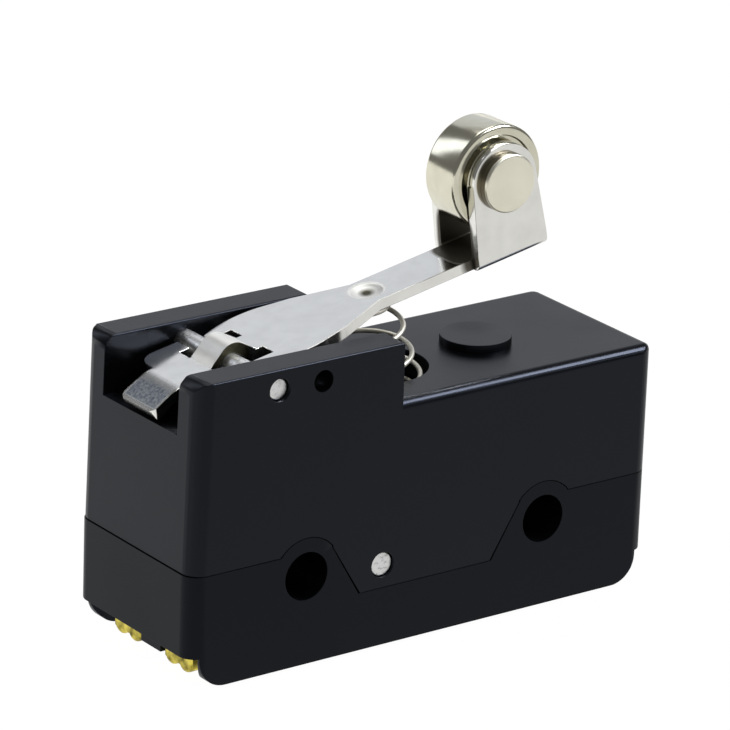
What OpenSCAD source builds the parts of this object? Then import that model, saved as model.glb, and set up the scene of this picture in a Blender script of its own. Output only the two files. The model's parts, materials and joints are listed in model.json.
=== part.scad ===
// Snap-action switch with a hinge lever and a roller.
// Millimetres. Origin at the middle of the underside, +Z up, +X towards the roller, -Y the front.

/* [Body] */
// Length of the moulded body
body_l = 49.2; // [46:0.1:54]
// Depth of the moulded body, front to back
body_w = 17.45; // [16:0.05:20]
// Height of the flat top that the lever swings over
top_z = 22.24; // [21:0.02:25]
// Height of the two walls that hold the hinge pin, over the flat top
hinge_wall_h = 5.26; // [5:0.02:6]
// Length of the hinge walls, from the left end
hinge_wall_l = 21.5; // [19:0.1:23]
// Width of the trough between the hinge walls
trough_w = 11.2; // [10.8:0.1:12]
// Radius of the upright corners
corner_r = 1.6; // [0.8:0.1:2.4]
// Radius along the edges of the flat top
top_edge_r = 0.9; // [0.3:0.1:1.2]
// Radius along the edges of the hinge walls
wall_edge_r = 0.5; // [0.2:0.1:0.8]
// Radius of the hinge walls' outer top corners
wall_corner_r = 1.3; // [0.6:0.1:2]
// Lean of the case's left end
end_lean = 1.3; // [0.5:0.1:1.5]
// Setback of the case's left end behind the base's
end_step = 0.1; // [0.05:0.05:0.15]
// Thickness of the case walls
case_wall = 2; // [1.6:0.1:2.4]
// Thickness of the case between the mechanism's ceiling and the flat top
ceiling_t = 5.04; // [4.7:0.02:5.2]

/* [Parting and mounting] */
// Height of the line between base and case
parting_z = 10.25; // [10:0.05:10.5]
// Width of the groove along that line
parting_gap = 0.12; // [0.06:0.02:0.2]
// Distance between the two mounting holes
mount_pitch = 25.4; // [24:0.1:27]
// Height of the mounting holes
mount_z = 8.18; // [7.9:0.02:8.4]
// Radius of the mounting holes
mount_r = 2.18; // [1.8:0.02:2.4]
// Radius of the base's humps around the mounting holes
hump_r = 3.4; // [3.1:0.1:3.7]
// Height of the lower edge of the case's tongue
tongue_z = 5.28; // [4.8:0.02:6]
// Half length of the tongue along its lower edge
tongue_half_low = 7.1; // [6.6:0.1:7.6]
// Half length of the tongue where it leaves the case
tongue_half_high = 10.1; // [9.6:0.1:10.4]
// Distance of the tongue's rivet from the middle
case_rivet_x = -4.64; // [-5.5:0.02:-3]
// Height of the tongue's rivet
case_rivet_z = 7.5; // [7:0.05:8.2]
// Radius of the tongue's rivet
case_rivet_r = 1.12; // [0.8:0.02:1.3]

/* [Terminal channel] */
// Width of the channel under the base
channel_w = 14.8; // [14:0.1:15.2]
// Height of the channel's ceiling
channel_z = 4.2; // [4:0.05:4.6]
// Height of the end walls' lower edge
end_wall_z = 2.85; // [2.6:0.05:3.2]
// Thickness of the base's end walls beside the channel
end_wall_t = 2; // [1.8:0.05:2.2]
// Setback of the side walls under the end walls
foot_setback = 1.15; // [0.8:0.05:1.2]
// Flare of the channel's mouths at both ends
channel_flare = 0.9; // [0.5:0.05:1]
// Radius of the side walls' lower corners
foot_r = 2.6; // [1:0.1:2.6]
// Thickness of the ribs between the terminals
rib_t = 1.8; // [1.4:0.1:2.2]
// Distance of those ribs from the middle
rib_x = 8.6; // [8.2:0.1:9]
// Gap between the ribs' lower edge and the underside
rib_foot = 0.6; // [0.3:0.1:1.5]
// Width of the keys between the terminals' end tines
key_w = 3; // [2.6:0.1:3.2]

/* [Hinge] */
// Distance of the hinge pin from the left end
hinge_from_left = 8.6; // [8.2:0.05:9]
// Height of the hinge pin over the flat top
hinge_rise = 3.41; // [3.3:0.01:3.6]
// Radius of the hinge pin
hinge_r = 1; // [0.9:0.02:1.1]
// Radial clearance of the running fits
run_gap = 0.05; // [0.03:0.01:0.08]
// Distance of the spare hole from the hinge pin
spare_hole_dx = 4.45; // [4.2:0.05:4.8]
// Radius of the spare hole
spare_hole_r = 0.97; // [0.8:0.02:1.1]

/* [Lever] */
// Slope of the lever at rest
lever_slope = 11; // [10.5:0.1:12]
// Press angle from rest to the stop
press_angle = 14.5; // [13:0.1:14.6]
// Sheet thickness
sheet_t = 1; // [0.9:0.02:1.05]
// Width of the middle band over the pin
band_w = 3.1; // [2.8:0.1:3.4]
// Width of each window beside the middle band
window_w = 1.6; // [1.2:0.1:1.8]
// Reach of the windows on the arm's side of the pin
window_front = 3.28; // [3:0.02:3.6]
// Reach of the windows on the tail's side of the pin
window_back = 2.1; // [2.08:0.02:2.3]
// Distance of the middle band's crest from the pin
arch_u = 0.32; // [0.28:0.01:0.36]
// Height of the crest's centre over the sheet's middle
arch_v = 0.32; // [0.3:0.01:0.36]
// Outer radius of the crest
arch_r = 1.6; // [1.58:0.01:1.64]
// Slope of the middle band's flanks
arch_slope = 38; // [37:0.5:38.5]
// Half width of the shoulders beside the pin
shoulder_half_w = 4.95; // [4.7:0.05:5.1]
// Radius of the shoulders' outer corners
shoulder_r = 1.6; // [1:0.1:2]
// Half width of the leaf where it is widest
leaf_half_w = 5.05; // [4.8:0.05:5.15]
// Distance of the leaf's widest place from the pin
leaf_u = 5.4; // [5:0.1:6]
// Radius of the leaf's rounded sides
leaf_side_r = 10.4; // [9.8:0.1:11.5]
// Distance of the leaf's outer corner from the pin
leaf_corner_u = 10.15; // [9.6:0.05:10.6]
// Half width of the leaf at that corner
leaf_corner_half_w = 4.19; // [4:0.02:4.4]
// Distance of the arm's start from the pin
arm_u = 15.2; // [14.8:0.1:15.6]
// Width of the arm
arm_w = 4.5; // [4.2:0.1:5]
// Width of the tail
tail_w = 4.9; // [4.4:0.1:5.4]
// Distance of the shoulders' back edge and the tail's bend from the pin
tail_bend_u = 5.3; // [5.2:0.05:5.4]
// Radius of the tail's bend, to the sheet's middle
tail_bend_r = 4; // [3.4:0.1:4.2]
// Bend of the tail
tail_bend = 24; // [22:0.1:24.2]
// Length of the tail past its bend
tail_l = 1.92; // [1.8:0.02:1.96]
// Radius of the tail's outer corners
tail_r = 0.6; // [0.3:0.1:0.8]
// Distance of the dimple from the pin
dimple_u = 15.45; // [15:0.05:16]
// Radius of the dimple's outer surface
dimple_r = 2; // [1.8:0.05:2.2]
// Depth of the dimple under the sheet
dimple_drop = 0.8; // [0.7:0.02:0.85]
// Radius of the dimple's hollow
dimple_hollow_r = 1.7; // [1.5:0.05:1.8]
// Depth of the dimple's hollow
dimple_hollow = 0.8; // [0.6:0.05:0.9]

/* [Clevis and roller] */
// Distance of the roller's centre from the pin, along the lever
roller_u = 29; // [28:0.1:29.5]
// Height of the roller's centre over the sheet's middle
roller_v = 6.9; // [6.6:0.05:7.6]
// Diameter of the roller
roller_d = 9.5; // [8.5:0.1:10]
// Width of the roller
roller_w = 4.2; // [3.6:0.02:4.4]
// Side play between roller and ears
roller_play = 0.12; // [0.06:0.01:0.2]
// Length of the ears at their foot
ear_l = 7.5; // [7:0.1:7.8]
// Radius of the ears' round tops
ear_top_r = 3.4; // [3:0.05:3.6]
// Inside radius of the ears' bend
ear_bend_r = 0.2; // [0.1:0.05:0.4]
// Outside radius of the ears' bend
ear_bend_out_r = 0.75; // [0.5:0.05:1.2]
// Radius of the axle
axle_r = 1.5; // [1.2:0.05:1.7]
// Radius of the axle's heads
axle_head_r = 2.65; // [2.3:0.05:2.9]
// Thickness of the axle's heads
axle_head_t = 0.85; // [0.6:0.05:1.2]
// Width of the roller's raised rim
rim_w = 0.95; // [0.6:0.05:1.2]
// Depth of the recess inside the rim
rim_recess = 0.35; // [0.2:0.05:0.5]
// Radius of the roller's hub
roller_hub_r = 2.5; // [2.2:0.05:2.7]
// Chamfer of the roller's rim
rim_chamfer = 0.3; // [0.15:0.05:0.45]

/* [Plunger, spring and stop pad] */
// Distance of the plunger from the hinge pin
plunger_from_hinge = 16; // [15.8:0.05:16.3]
// Travel of the plunger at full press
plunger_travel = 0.8; // [0.6:0.02:0.85]
// Radius of the plunger
plunger_r = 2.2; // [1.9:0.05:2.3]
// Radius of the plunger's flange
plunger_flange_r = 3.2; // [2.9:0.05:3.6]
// Thickness of the plunger's flange
plunger_flange_t = 0.9; // [0.8:0.05:1]
// Radius of the plunger's foot
plunger_foot_r = 1.5; // [1.2:0.05:1.7]
// Radius of the plunger's round top
plunger_dome_r = 3; // [2.6:0.1:4]
// Radius of the spring well
well_r = 4.9; // [4.7:0.05:5]
// Depth of the well under the flat top
well_depth = 3.64; // [3.3:0.02:3.9]
// Wire diameter of the return spring
wire_d = 0.45; // [0.4:0.05:0.5]
// Coil radius of the spring at its foot, to the middle of the wire
coil_low_r = 4.4; // [4.2:0.05:4.45]
// Coil radius of the spring at its top, to the middle of the wire
coil_high_r = 1.85; // [1.8:0.05:1.95]
// Number of turns of the spring
coil_turns = 5; // [4.8:0.1:5.2]
// Turn of the spring's foot round the plunger
coil_start = 36; // [0:1:90]
// Distance of the stop pad from the hinge pin
pad_from_hinge = 27.15; // [26.8:0.05:27.4]
// Radius of the stop pad
pad_r = 3.2; // [2.8:0.05:3.3]
// Height of the stop pad
pad_h = 0.75; // [0.5:0.05:0.8]

/* [Contacts and terminals] */
// Height of the blade's middle over the base
blade_rise = 3.75; // [3.65:0.02:3.85]
// Thickness of the blade
blade_t = 0.3; // [0.2:0.02:0.36]
// Width of the blade
blade_w = 6; // [5.4:0.1:6.4]
// Distance of the blade's knife edge from the left end
blade_root_from_left = 6.6; // [6.2:0.05:6.8]
// Distance of the contacts from the right end
contact_from_end = 7.1; // [6.6:0.05:7.6]
// Radius of the contacts
contact_r = 1.6; // [1.3:0.05:1.8]
// Thickness of the moving contact
moving_contact_t = 1.5; // [1.2:0.02:1.5]
// Gap between the open contacts
contact_gap = 1.1; // [1.08:0.01:1.2]
// Gap between contacts that touch, and between loose-fitted flat faces
touch_gap = 0.05; // [0.03:0.01:0.06]
// Lost motion between plunger and blade
lost_motion = 0.35; // [0.33:0.01:0.45]
// Width of the blade's tongue
tongue_w = 2.2; // [1.8:0.1:2.6]
// Width of the slits beside the tongue
tongue_slit = 0.6; // [0.4:0.05:0.8]
// Sag of the bowed tongue
tongue_sag = 1.1; // [0.9:0.05:1.3]
// Distance of the blade anchor from the plunger
anchor_from_plunger = 7.6; // [7.4:0.05:8]
// Thickness of the terminal plates
plate_t = 1.2; // [1:0.05:1.3]
// Thickness of the terminals' risers and strips
strip_t = 0.8; // [0.7:0.05:0.9]
// Width of the terminals' risers
riser_w = 5; // [4.4:0.1:5.4]
// Gap between the terminal plates and the ribs
plate_end_gap = 0.5; // [0.3:0.05:0.8]
// Width of the terminal plates
plate_w = 11.9; // [11.4:0.1:12.4]
// Gap between the end plates and the end walls
plate_wall_gap = 0.15; // [0.1:0.05:0.3]
// Gap between the blade and the strip beside it
strip_side_gap = 0.4; // [0.3:0.05:0.6]
// Gap between that strip and the ceiling
strip_top_gap = 0.5; // [0.4:0.05:0.6]
// Distance of the end terminals' screws from the body's ends
screw_from_end = 7.2; // [7:0.05:7.4]
// Radius of the terminal screws
screw_r = 1.75; // [1.5:0.05:1.85]
// Radius of the terminal screws' heads
screw_head_r = 3.3; // [3:0.05:3.5]
// Thickness of the terminal screws' heads
screw_head_t = 1.9; // [1.6:0.05:2]
// Material left in the base over the terminal screws
screw_skin = 1.5; // [1.2:0.1:2]
// Gap over the terminal screws' ends
screw_end_gap = 0.5; // [0.3:0.1:0.8]
// Width of the screwdriver slot
slot_w = 0.9; // [0.7:0.05:1.1]
// Depth of the screwdriver slot
slot_depth = 0.9; // [0.7:0.05:1.1]
// Thickness of the saddle washers
washer_t = 0.7; // [0.6:0.05:0.8]
// Gap between a screw head and the saddle washer's lips
washer_lip_gap = 0.15; // [0.1:0.05:0.3]
// Height of the end tines' lower edge
tine_foot_z = 0.1; // [0.05:0.05:0.4]
// Height of the notch between the two lobes of a tine
tine_notch = 0.35; // [0.2:0.05:0.5]
// Height of the keys' lower edge
key_foot_z = 0.75; // [0.5:0.05:1]
// Gap between the tines and the key
tine_gap = 0.3; // [0.2:0.05:0.5]

/* [Hidden] */
$fn = 64;
// Smallest lap between joined solids
eps = 0.01;
// Lap of solids that join or cut deep
lap = 1;
// Reach of cuts that go right through
far = 100;

half_l = body_l / 2;
half_w = body_w / 2;
hinge_x = -half_l + hinge_from_left;
hinge_z = top_z + hinge_rise;
hinge_wall_z = top_z + hinge_wall_h;
ceiling_z = top_z - ceiling_t;
case_left_x = -half_l + end_step;
well_floor_z = top_z - well_depth;
plunger_x = hinge_x + plunger_from_hinge;
pad_x = hinge_x + pad_from_hinge;
blade_z = parting_z + blade_rise;
blade_root_x = -half_l + blade_root_from_left;
hump_in_x = mount_pitch / 2 - hump_r;
anchor_x = max(plunger_x - anchor_from_plunger, -hump_in_x + strip_t / 2 + touch_gap);
contact_x = half_l - contact_from_end;
screw_x = half_l - screw_from_end;
hinge_wall_end_x = -half_l + hinge_wall_l;
cavity_half_l = half_l - case_wall;
cavity_half_w = half_w - case_wall;
core_half_w = cavity_half_w - touch_gap;
knuckle_in = hinge_r + run_gap;
knuckle_out = knuckle_in + sheet_t;
window_in = band_w / 2;
window_out = window_in + window_w;
ear_in = roller_w / 2 + roller_play;
ear_out = ear_in + sheet_t;
ear_start_u = roller_u - ear_l / 2;
// Height of the dimple's tip over the pin, with the lever turned down by an angle
function dimple_tip_z(press) =
    hinge_z + dimple_u * sin(lever_slope - press)
    - (sheet_t / 2 + dimple_drop) * cos(lever_slope - press);
plunger_top_z = dimple_tip_z(press_angle) + plunger_travel - touch_gap;
plunger_foot_z = blade_z + blade_t / 2 + lost_motion;
plunger_flange_top_z = ceiling_z - touch_gap;
plunger_bore_r = plunger_r + run_gap;
plate_low_z = channel_z - plate_t;
washer_low_z = plate_low_z - washer_t;
screw_low_z = washer_low_z - screw_head_t;
screw_hole_z = parting_z - screw_skin;
plate_half_w = plate_w / 2;
end_plate_out = half_l - end_wall_t - plate_wall_gap;
end_plate_in = rib_x + rib_t / 2 + plate_end_gap;
mid_plate_half_l = rib_x - rib_t / 2 - plate_end_gap;
riser_out = cavity_half_l - 2 * strip_t;
closed_riser_x = mid_plate_half_l - strip_t;
closed_strip_y = blade_w / 2 + strip_side_gap;
closed_contact_z = blade_z + moving_contact_t / 2 + touch_gap;
closed_strip_z = ceiling_z - strip_top_gap - strip_t;
open_contact_z = blade_z - moving_contact_t / 2 - contact_gap;
open_strip_z = parting_z + strip_t;
anchor_h = blade_z - tongue_sag - parting_z;

// Rectangle from a to b with its four corners rounded: low left, low right, high right, high left
module round_rect(a, b, r) {
    centres = [[a.x + r[0], a.y + r[0]], [b.x - r[1], a.y + r[1]],
               [b.x - r[2], b.y - r[2]], [a.x + r[3], b.y - r[3]]];
    polygon([[a.x, a.y + r[0]], [a.x + r[0], a.y], [b.x - r[1], a.y], [b.x, a.y + r[1]],
             [b.x, b.y - r[2]], [b.x - r[2], b.y], [a.x + r[3], b.y], [a.x, b.y - r[3]]]);
    for (i = [0:3])
        if (r[i] > 0)
            translate(centres[i]) circle(r[i]);
}

// Box between two corners
module span(a, b) {
    translate(a) cube(b - a);
}

// Extrudes a shape drawn on the X-Z plane along Y, between y0 and y1
module along_y(y0, y1) {
    translate([0, y1, 0]) rotate([90, 0, 0]) linear_extrude(y1 - y0) children();
}

// Extrudes a shape drawn on the Y-Z plane along X, between x0 and x1
module along_x(x0, x1) {
    translate([x0, 0, 0]) rotate([90, 0, 90]) linear_extrude(x1 - x0) children();
}

// Round bar along Y, centred on y = 0
module bar_y(x, z, r, l) {
    translate([x, l / 2, z]) rotate([90, 0, 0]) cylinder(h = l, r = r);
}

// Puts the lever's own frame, which lies flat with the pin at its origin, at its place on the body
module on_lever() {
    translate([hinge_x, 0, hinge_z]) rotate([0, -lever_slope, 0]) children();
}

// Plan of the body with its upright corners rounded
module body_plan(z0, z1) {
    translate([0, 0, z0]) linear_extrude(z1 - z0)
        round_rect([-half_l, -half_w], [half_l, half_w], [for (i = [0:3]) corner_r]);
}

// Plan of the case, with the left end leaning in towards the top
module case_plan(z0, z1) {
    reach = 2 * body_l;
    intersection() {
        translate([0, 0, z0]) linear_extrude(z1 - z0)
            round_rect([-body_l, -half_w], [half_l, half_w], [0, corner_r, corner_r, 0]);
        translate([case_left_x, 0, parting_z]) rotate([0, end_lean, 0])
            translate([0, 0, -body_l]) linear_extrude(reach)
                round_rect([0, -half_w], [reach, half_w], [corner_r, 0, 0, corner_r]);
    }
}

// Front view of the base: level parting line, humps over the holes, and the notch for the tongue
module base_front(grow) {
    difference() {
        union() {
            translate([-far, -far]) square([2 * far, far + parting_z + grow]);
            for (side = [-1, 1])
                translate([side * mount_pitch / 2, mount_z]) circle(hump_r + grow);
        }
        polygon([[-tongue_half_high + grow, parting_z + hump_r], [-tongue_half_high + grow, parting_z],
                 [-tongue_half_low + grow, tongue_z + grow], [tongue_half_low - grow, tongue_z + grow],
                 [tongue_half_high - grow, parting_z], [tongue_half_high - grow, parting_z + hump_r]]);
    }
}

// Holes that go through from front to back
module cross_holes() {
    for (side = [-1, 1])
        bar_y(side * mount_pitch / 2, mount_z, mount_r, 2 * body_w);
    bar_y(case_rivet_x, case_rivet_z, case_rivet_r + touch_gap, 2 * body_w);
}

module base() {
    color("#26282b")
    difference() {
        union() {
            intersection() {
                body_plan(0, parting_z + hump_r);
                along_y(-half_w, half_w) base_front(0);
            }
            span([-tongue_half_high, -core_half_w, tongue_z - lap],
                 [tongue_half_high, core_half_w, parting_z]);
        }
        cross_holes();
        base_end_cuts();
        base_channel();
        base_terminal_slots();
    }
}

// Takes the base's ends back below the end walls, with rounded lower corners
module base_end_cuts() {
    foot_x = half_l - foot_setback;
    along_y(-body_w, body_w) difference() {
        translate([-far, -far]) square([2 * far, far + end_wall_z]);
        round_rect([-foot_x, 0], [foot_x, end_wall_z + lap], [foot_r, foot_r, 0, 0]);
    }
}

// Open channel under the base, with ribs between the terminals and keys at both ends
module base_channel() {
    foot_x = half_l - foot_setback;
    flare_x = foot_x - channel_flare;
    mouth = channel_w / 2 + channel_flare;
    difference() {
        union() {
            span([-body_l, -channel_w / 2, -lap], [body_l, channel_w / 2, end_wall_z]);
            span([-half_l + end_wall_t, -channel_w / 2, -lap],
                 [half_l - end_wall_t, channel_w / 2, channel_z]);
            translate([0, 0, -lap]) linear_extrude(end_wall_z + lap)
                for (side = [0, 1])
                    mirror([side, 0]) {
                        polygon([[0, 0], [flare_x, channel_w / 2], [foot_x, mouth], [half_l, mouth],
                                 [half_l, -mouth], [foot_x, -mouth], [flare_x, -channel_w / 2]]);
                    }
        }
        for (side = [0, 1])
            mirror([side, 0, 0]) {
                span([rib_x - rib_t / 2, -channel_w, rib_foot],
                     [rib_x + rib_t / 2, channel_w, channel_z + lap]);
                span([end_plate_out - plate_t, -key_w / 2, key_foot_z],
                     [half_l - end_wall_t + eps, key_w / 2, channel_z + lap]);
            }
    }
}

// Slots for the terminals' risers and blind holes for their screws
module base_terminal_slots() {
    for (side = [-1, 1]) {
        riser_x = side * (riser_out - strip_t / 2);
        span([riser_x - strip_t / 2 - touch_gap, -riser_w / 2 - touch_gap, 0],
             [riser_x + strip_t / 2 + touch_gap, riser_w / 2 + touch_gap, far]);
    }
    span([closed_riser_x - touch_gap, closed_strip_y - touch_gap, 0],
         [closed_riser_x + strip_t + touch_gap, plate_half_w + touch_gap, far]);
    for (x = [-screw_x, 0, screw_x])
        translate([x, 0, 0]) cylinder(h = screw_hole_z, r = screw_r + touch_gap);
}

module case() {
    color("#2b2d30")
    difference() {
        union() {
            case_block();
            hinge_walls();
            translate([pad_x, 0, top_z - lap]) cylinder(h = pad_h + lap, r = pad_r);
        }
        along_y(-body_w, body_w) base_front(parting_gap);
        span([-cavity_half_l, -cavity_half_w, -lap], [cavity_half_l, cavity_half_w, ceiling_z]);
        translate([plunger_x, 0, well_floor_z]) cylinder(h = far, r = well_r);
        translate([plunger_x, 0, 0]) cylinder(h = far, r = plunger_bore_r);
        bar_y(hinge_x, hinge_z, hinge_r + touch_gap, 2 * body_w);
        bar_y(hinge_x + spare_hole_dx, hinge_z, spare_hole_r, 2 * body_w);
        bar_y(case_rivet_x, case_rivet_z, case_rivet_r + touch_gap, 2 * body_w);
    }
}

// Body of the case up to its flat top, with rounded top edges
module case_block() {
    soft = [0, 0, top_edge_r, top_edge_r];
    intersection() {
        case_plan(0, top_z);
        along_y(-half_w, half_w) round_rect([-body_l, 0], [half_l, top_z], [0, 0, top_edge_r, 0]);
        along_x(-body_l, half_l) round_rect([-half_w, 0], [half_w, top_z], soft);
    }
}

// The two walls that hold the hinge pin, flush with the front and back
module hinge_walls() {
    low_z = ceiling_z;
    soft = [0, 0, wall_edge_r, wall_edge_r];
    corner_z = hinge_wall_z - wall_corner_r;
    corner_x = case_left_x + (corner_z - parting_z) * tan(end_lean) + wall_corner_r / cos(end_lean);
    intersection() {
        case_plan(low_z, hinge_wall_z);
        along_y(-half_w, half_w) difference() {
            round_rect([-body_l, low_z], [hinge_wall_end_x, hinge_wall_z], [0, 0, wall_edge_r, 0]);
            translate([corner_x, corner_z]) difference() {
                polygon(3 * wall_corner_r * [[0, 0], [0, 1], [-1, 1], [-cos(end_lean), sin(end_lean)]]);
                circle(wall_corner_r);
            }
        }
        along_x(-body_l, half_l)
            for (side = [0, 1])
                mirror([side, 0])
                    round_rect([trough_w / 2, low_z], [half_w, hinge_wall_z], soft);
    }
}

module case_rivet() {
    head_set = 0.15;
    color("#c9cbcc") bar_y(case_rivet_x, case_rivet_z, case_rivet_r, body_w - 2 * head_set);
}

module hinge_pin() {
    end_set = 0.12;
    end_chamfer = 0.12;
    pin_l = body_w - 2 * end_set;
    color("#d4d6d7")
    translate([hinge_x, pin_l / 2, hinge_z]) rotate([90, 0, 0]) rotate_extrude()
        polygon([[0, 0], [hinge_r - end_chamfer, 0], [hinge_r, end_chamfer], [hinge_r, pin_l - end_chamfer],
                 [hinge_r - end_chamfer, pin_l], [0, pin_l]]);
}

// Point on the leaf's rounded side where the straight line to its outer corner starts
function leaf_tangent() =
    let (
        run = leaf_corner_u - leaf_u,
        rise = leaf_corner_half_w - leaf_half_w + leaf_side_r,
        turn = atan2(run, rise) - acos(min(1, leaf_side_r / norm([run, rise])))
    )
    [leaf_u + leaf_side_r * sin(turn), leaf_half_w + leaf_side_r * (cos(turn) - 1)];

// Plan of the lever from the shoulder behind the pin to the end of the arm
module lever_plan() {
    side_y = leaf_side_r - leaf_half_w;
    tangent = leaf_tangent();
    round_rect([-tail_bend_u, -shoulder_half_w], [hinge_r, shoulder_half_w],
               [shoulder_r, shoulder_r, shoulder_r, shoulder_r]);
    intersection() {
        translate([0, -leaf_half_w]) square([tangent.x, 2 * leaf_half_w]);
        translate([leaf_u, side_y]) circle(leaf_side_r, $fn = 128);
        translate([leaf_u, -side_y]) circle(leaf_side_r, $fn = 128);
    }
    edge = [[tangent.x - eps, tangent.y], [leaf_corner_u, leaf_corner_half_w], [arm_u, arm_w / 2],
            [ear_start_u + lap, arm_w / 2]];
    polygon(concat(edge, [for (i = [len(edge) - 1:-1:0]) [edge[i].x, -edge[i].y]]));
}

// Section of a band that leaves the sheet in a half ring round the pin
module band_section() {
    difference() {
        union() {
            translate([-window_back - lap, -sheet_t / 2])
                square([window_back + window_front + 2 * lap, sheet_t]);
            intersection() {
                circle(knuckle_out);
                translate([-far, 0]) square([2 * far, far]);
            }
        }
        circle(knuckle_in);
        translate([-knuckle_in, -far]) square([2 * knuckle_in, far]);
    }
}

// Bell shape down to a height: a round crest of radius r about the point c, with two straight flanks
module bell(c, r, low) {
    touch = r * [sin(arch_slope), cos(arch_slope)];
    run = (c.y + touch.y - low) / tan(arch_slope);
    intersection() {
        translate(c) circle(r);
        translate([-far, low]) square([2 * far, far]);
    }
    polygon([[c.x - touch.x - run, low], [c.x + touch.x + run, low],
             [c.x + touch.x, c.y + touch.y], [c.x - touch.x, c.y + touch.y]]);
}

// Section of the middle band, which rises over the pin in a bell
module arch_section() {
    difference() {
        union() {
            translate([-window_back - lap, -sheet_t / 2])
                square([window_back + window_front + 2 * lap, sheet_t]);
            bell([arch_u, arch_v], arch_r, 0);
        }
        bell([0, 0], knuckle_in, -sheet_t);
    }
}

// The sheet around the pin: the middle band passes over it, the two outer bands pass under it
module knuckle() {
    intersection() {
        union() {
            along_y(-window_in, window_in) arch_section();
            for (side = [0, 1])
                mirror([0, side, 0]) along_y(window_out, shoulder_half_w) mirror([0, 1]) band_section();
        }
        translate([0, 0, -far / 2]) linear_extrude(far) lever_plan();
        span([-window_back - eps, -far, -far], [window_front + eps, far, far]);
    }
}

// Two upright ears joined by a web under the roller, with round bends
module clevis() {
    axle_at = [roller_u, roller_v];
    ear_half = ear_l / 2;
    intersection() {
        along_x(ear_start_u, ear_start_u + ear_l) difference() {
            round_rect([-ear_out, -sheet_t / 2], [ear_out, far], [ear_bend_out_r, ear_bend_out_r, 0, 0]);
            round_rect([-ear_in, sheet_t / 2], [ear_in, 2 * far], [ear_bend_r, ear_bend_r, 0, 0]);
        }
        along_y(-far, far) union() {
            translate(axle_at) circle(ear_top_r);
            polygon([[roller_u - ear_half, -sheet_t], [roller_u + ear_half, -sheet_t],
                     [roller_u + ear_half, sheet_t], [roller_u + ear_top_r, roller_v],
                     [roller_u - ear_top_r, roller_v], [roller_u - ear_half, sheet_t]]);
        }
    }
}

// Side view of the tail: along the sheet, round its bend and straight on to its tip
module tail_section() {
    bend_steps = 8;
    tip = -tail_l * [cos(tail_bend), sin(tail_bend)];
    // Points of one face of the sheet, at a height over its middle
    function face(v) = concat(
        [[lap - tail_bend_u, v]],
        [for (i = [0:bend_steps]) tail_bend_point(v, tail_bend * i / bend_steps)],
        [tail_bend_point(v, tail_bend) + tip]
    );
    low = face(-sheet_t / 2);
    polygon(concat(face(sheet_t / 2), [for (i = [len(low) - 1:-1:0]) low[i]]));
}

// Point of the tail's bend at a height over the sheet's middle and a turn from its start
function tail_bend_point(v, turn) =
    [-tail_bend_u - (tail_bend_r + v) * sin(turn), (tail_bend_r + v) * cos(turn) - tail_bend_r];

// Strip behind the shoulder that bends down towards the trough's floor
module tail() {
    tip_u = tail_bend_point(sheet_t / 2, tail_bend).x - tail_l * cos(tail_bend);
    intersection() {
        along_y(-tail_w, tail_w) tail_section();
        translate([0, 0, -far / 2]) linear_extrude(far)
            round_rect([tip_u, -tail_w / 2], [far, tail_w / 2], [tail_r, 0, 0, tail_r]);
    }
}

module lever() {
    color("#c4c7c8")
    on_lever() difference() {
        union() {
            difference() {
                translate([0, 0, -sheet_t / 2]) linear_extrude(sheet_t) lever_plan();
                span([-window_back, -far, -far], [window_front, far, far]);
            }
            knuckle();
            clevis();
            tail();
            intersection() {
                translate([dimple_u, 0, dimple_r - dimple_drop - sheet_t / 2]) sphere(dimple_r);
                span([0, -far, -far], [far, far, 0]);
            }
        }
        translate([dimple_u, 0, sheet_t / 2 + dimple_hollow_r - dimple_hollow]) sphere(dimple_hollow_r);
        bar_y(roller_u, roller_v, axle_r + touch_gap / 2, 2 * ear_out);
    }
}

module roller_axle() {
    edge_r = axle_head_t / 4;
    half = ear_out + axle_head_t;
    color("#cfcdc2")
    on_lever() translate([roller_u, 0, roller_v]) rotate([90, 0, 0]) rotate_extrude() {
        translate([0, -half]) square([axle_r, 2 * half]);
        for (side = [0, 1])
            mirror([0, side]) {
                translate([0, ear_out]) square([axle_head_r, axle_head_t - edge_r]);
                translate([0, ear_out]) square([axle_head_r - edge_r, axle_head_t]);
                translate([axle_head_r - edge_r, half - edge_r]) circle(edge_r);
            }
    }
}

module roller() {
    r = roller_d / 2;
    half = roller_w / 2;
    low = half - rim_recess;
    color("#d3d1c6")
    on_lever() translate([roller_u, 0, roller_v]) rotate([90, 0, 0]) rotate_extrude()
        polygon([[axle_r + run_gap, -half], [roller_hub_r, -half], [roller_hub_r, -low], [r - rim_w, -low],
                 [r - rim_w, -half], [r - rim_chamfer, -half], [r, rim_chamfer - half],
                 [r, half - rim_chamfer], [r - rim_chamfer, half], [r - rim_w, half],
                 [r - rim_w, low], [roller_hub_r, low], [roller_hub_r, half], [axle_r + run_gap, half]]);
}

// Middle of the spring's wire at a share t of its length: round the plunger at its foot, round the dimple
// at its top, and under the sloping sheet there
function coil_point(t) =
    let (
        turn = coil_turns * t,
        waist_r = coil_high_r + 0.47 * (coil_low_r - coil_high_r),
        r = lookup(turn, [[1.7, coil_low_r], [3.8, waist_r], [4.25, coil_high_r]]),
        rise = lookup(turn, [[0.5, 0], [2.8, 0.49], [3.8, 0.77], [4.25, 1]]),
        angle = coil_start + 360 * turn,
        lean = (dimple_u * cos(lever_slope) - plunger_from_hinge) * rise,
        x = lean + r * cos(angle),
        low = well_floor_z + wire_d / 2 + touch_gap,
        sheet_low = hinge_z + (x + plunger_from_hinge) * tan(lever_slope) - sheet_t / 2 / cos(lever_slope),
        high = sheet_low - wire_d / 2 - 2 * touch_gap
    )
    [x, r * sin(angle), low + (high - low) * rise];

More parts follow.
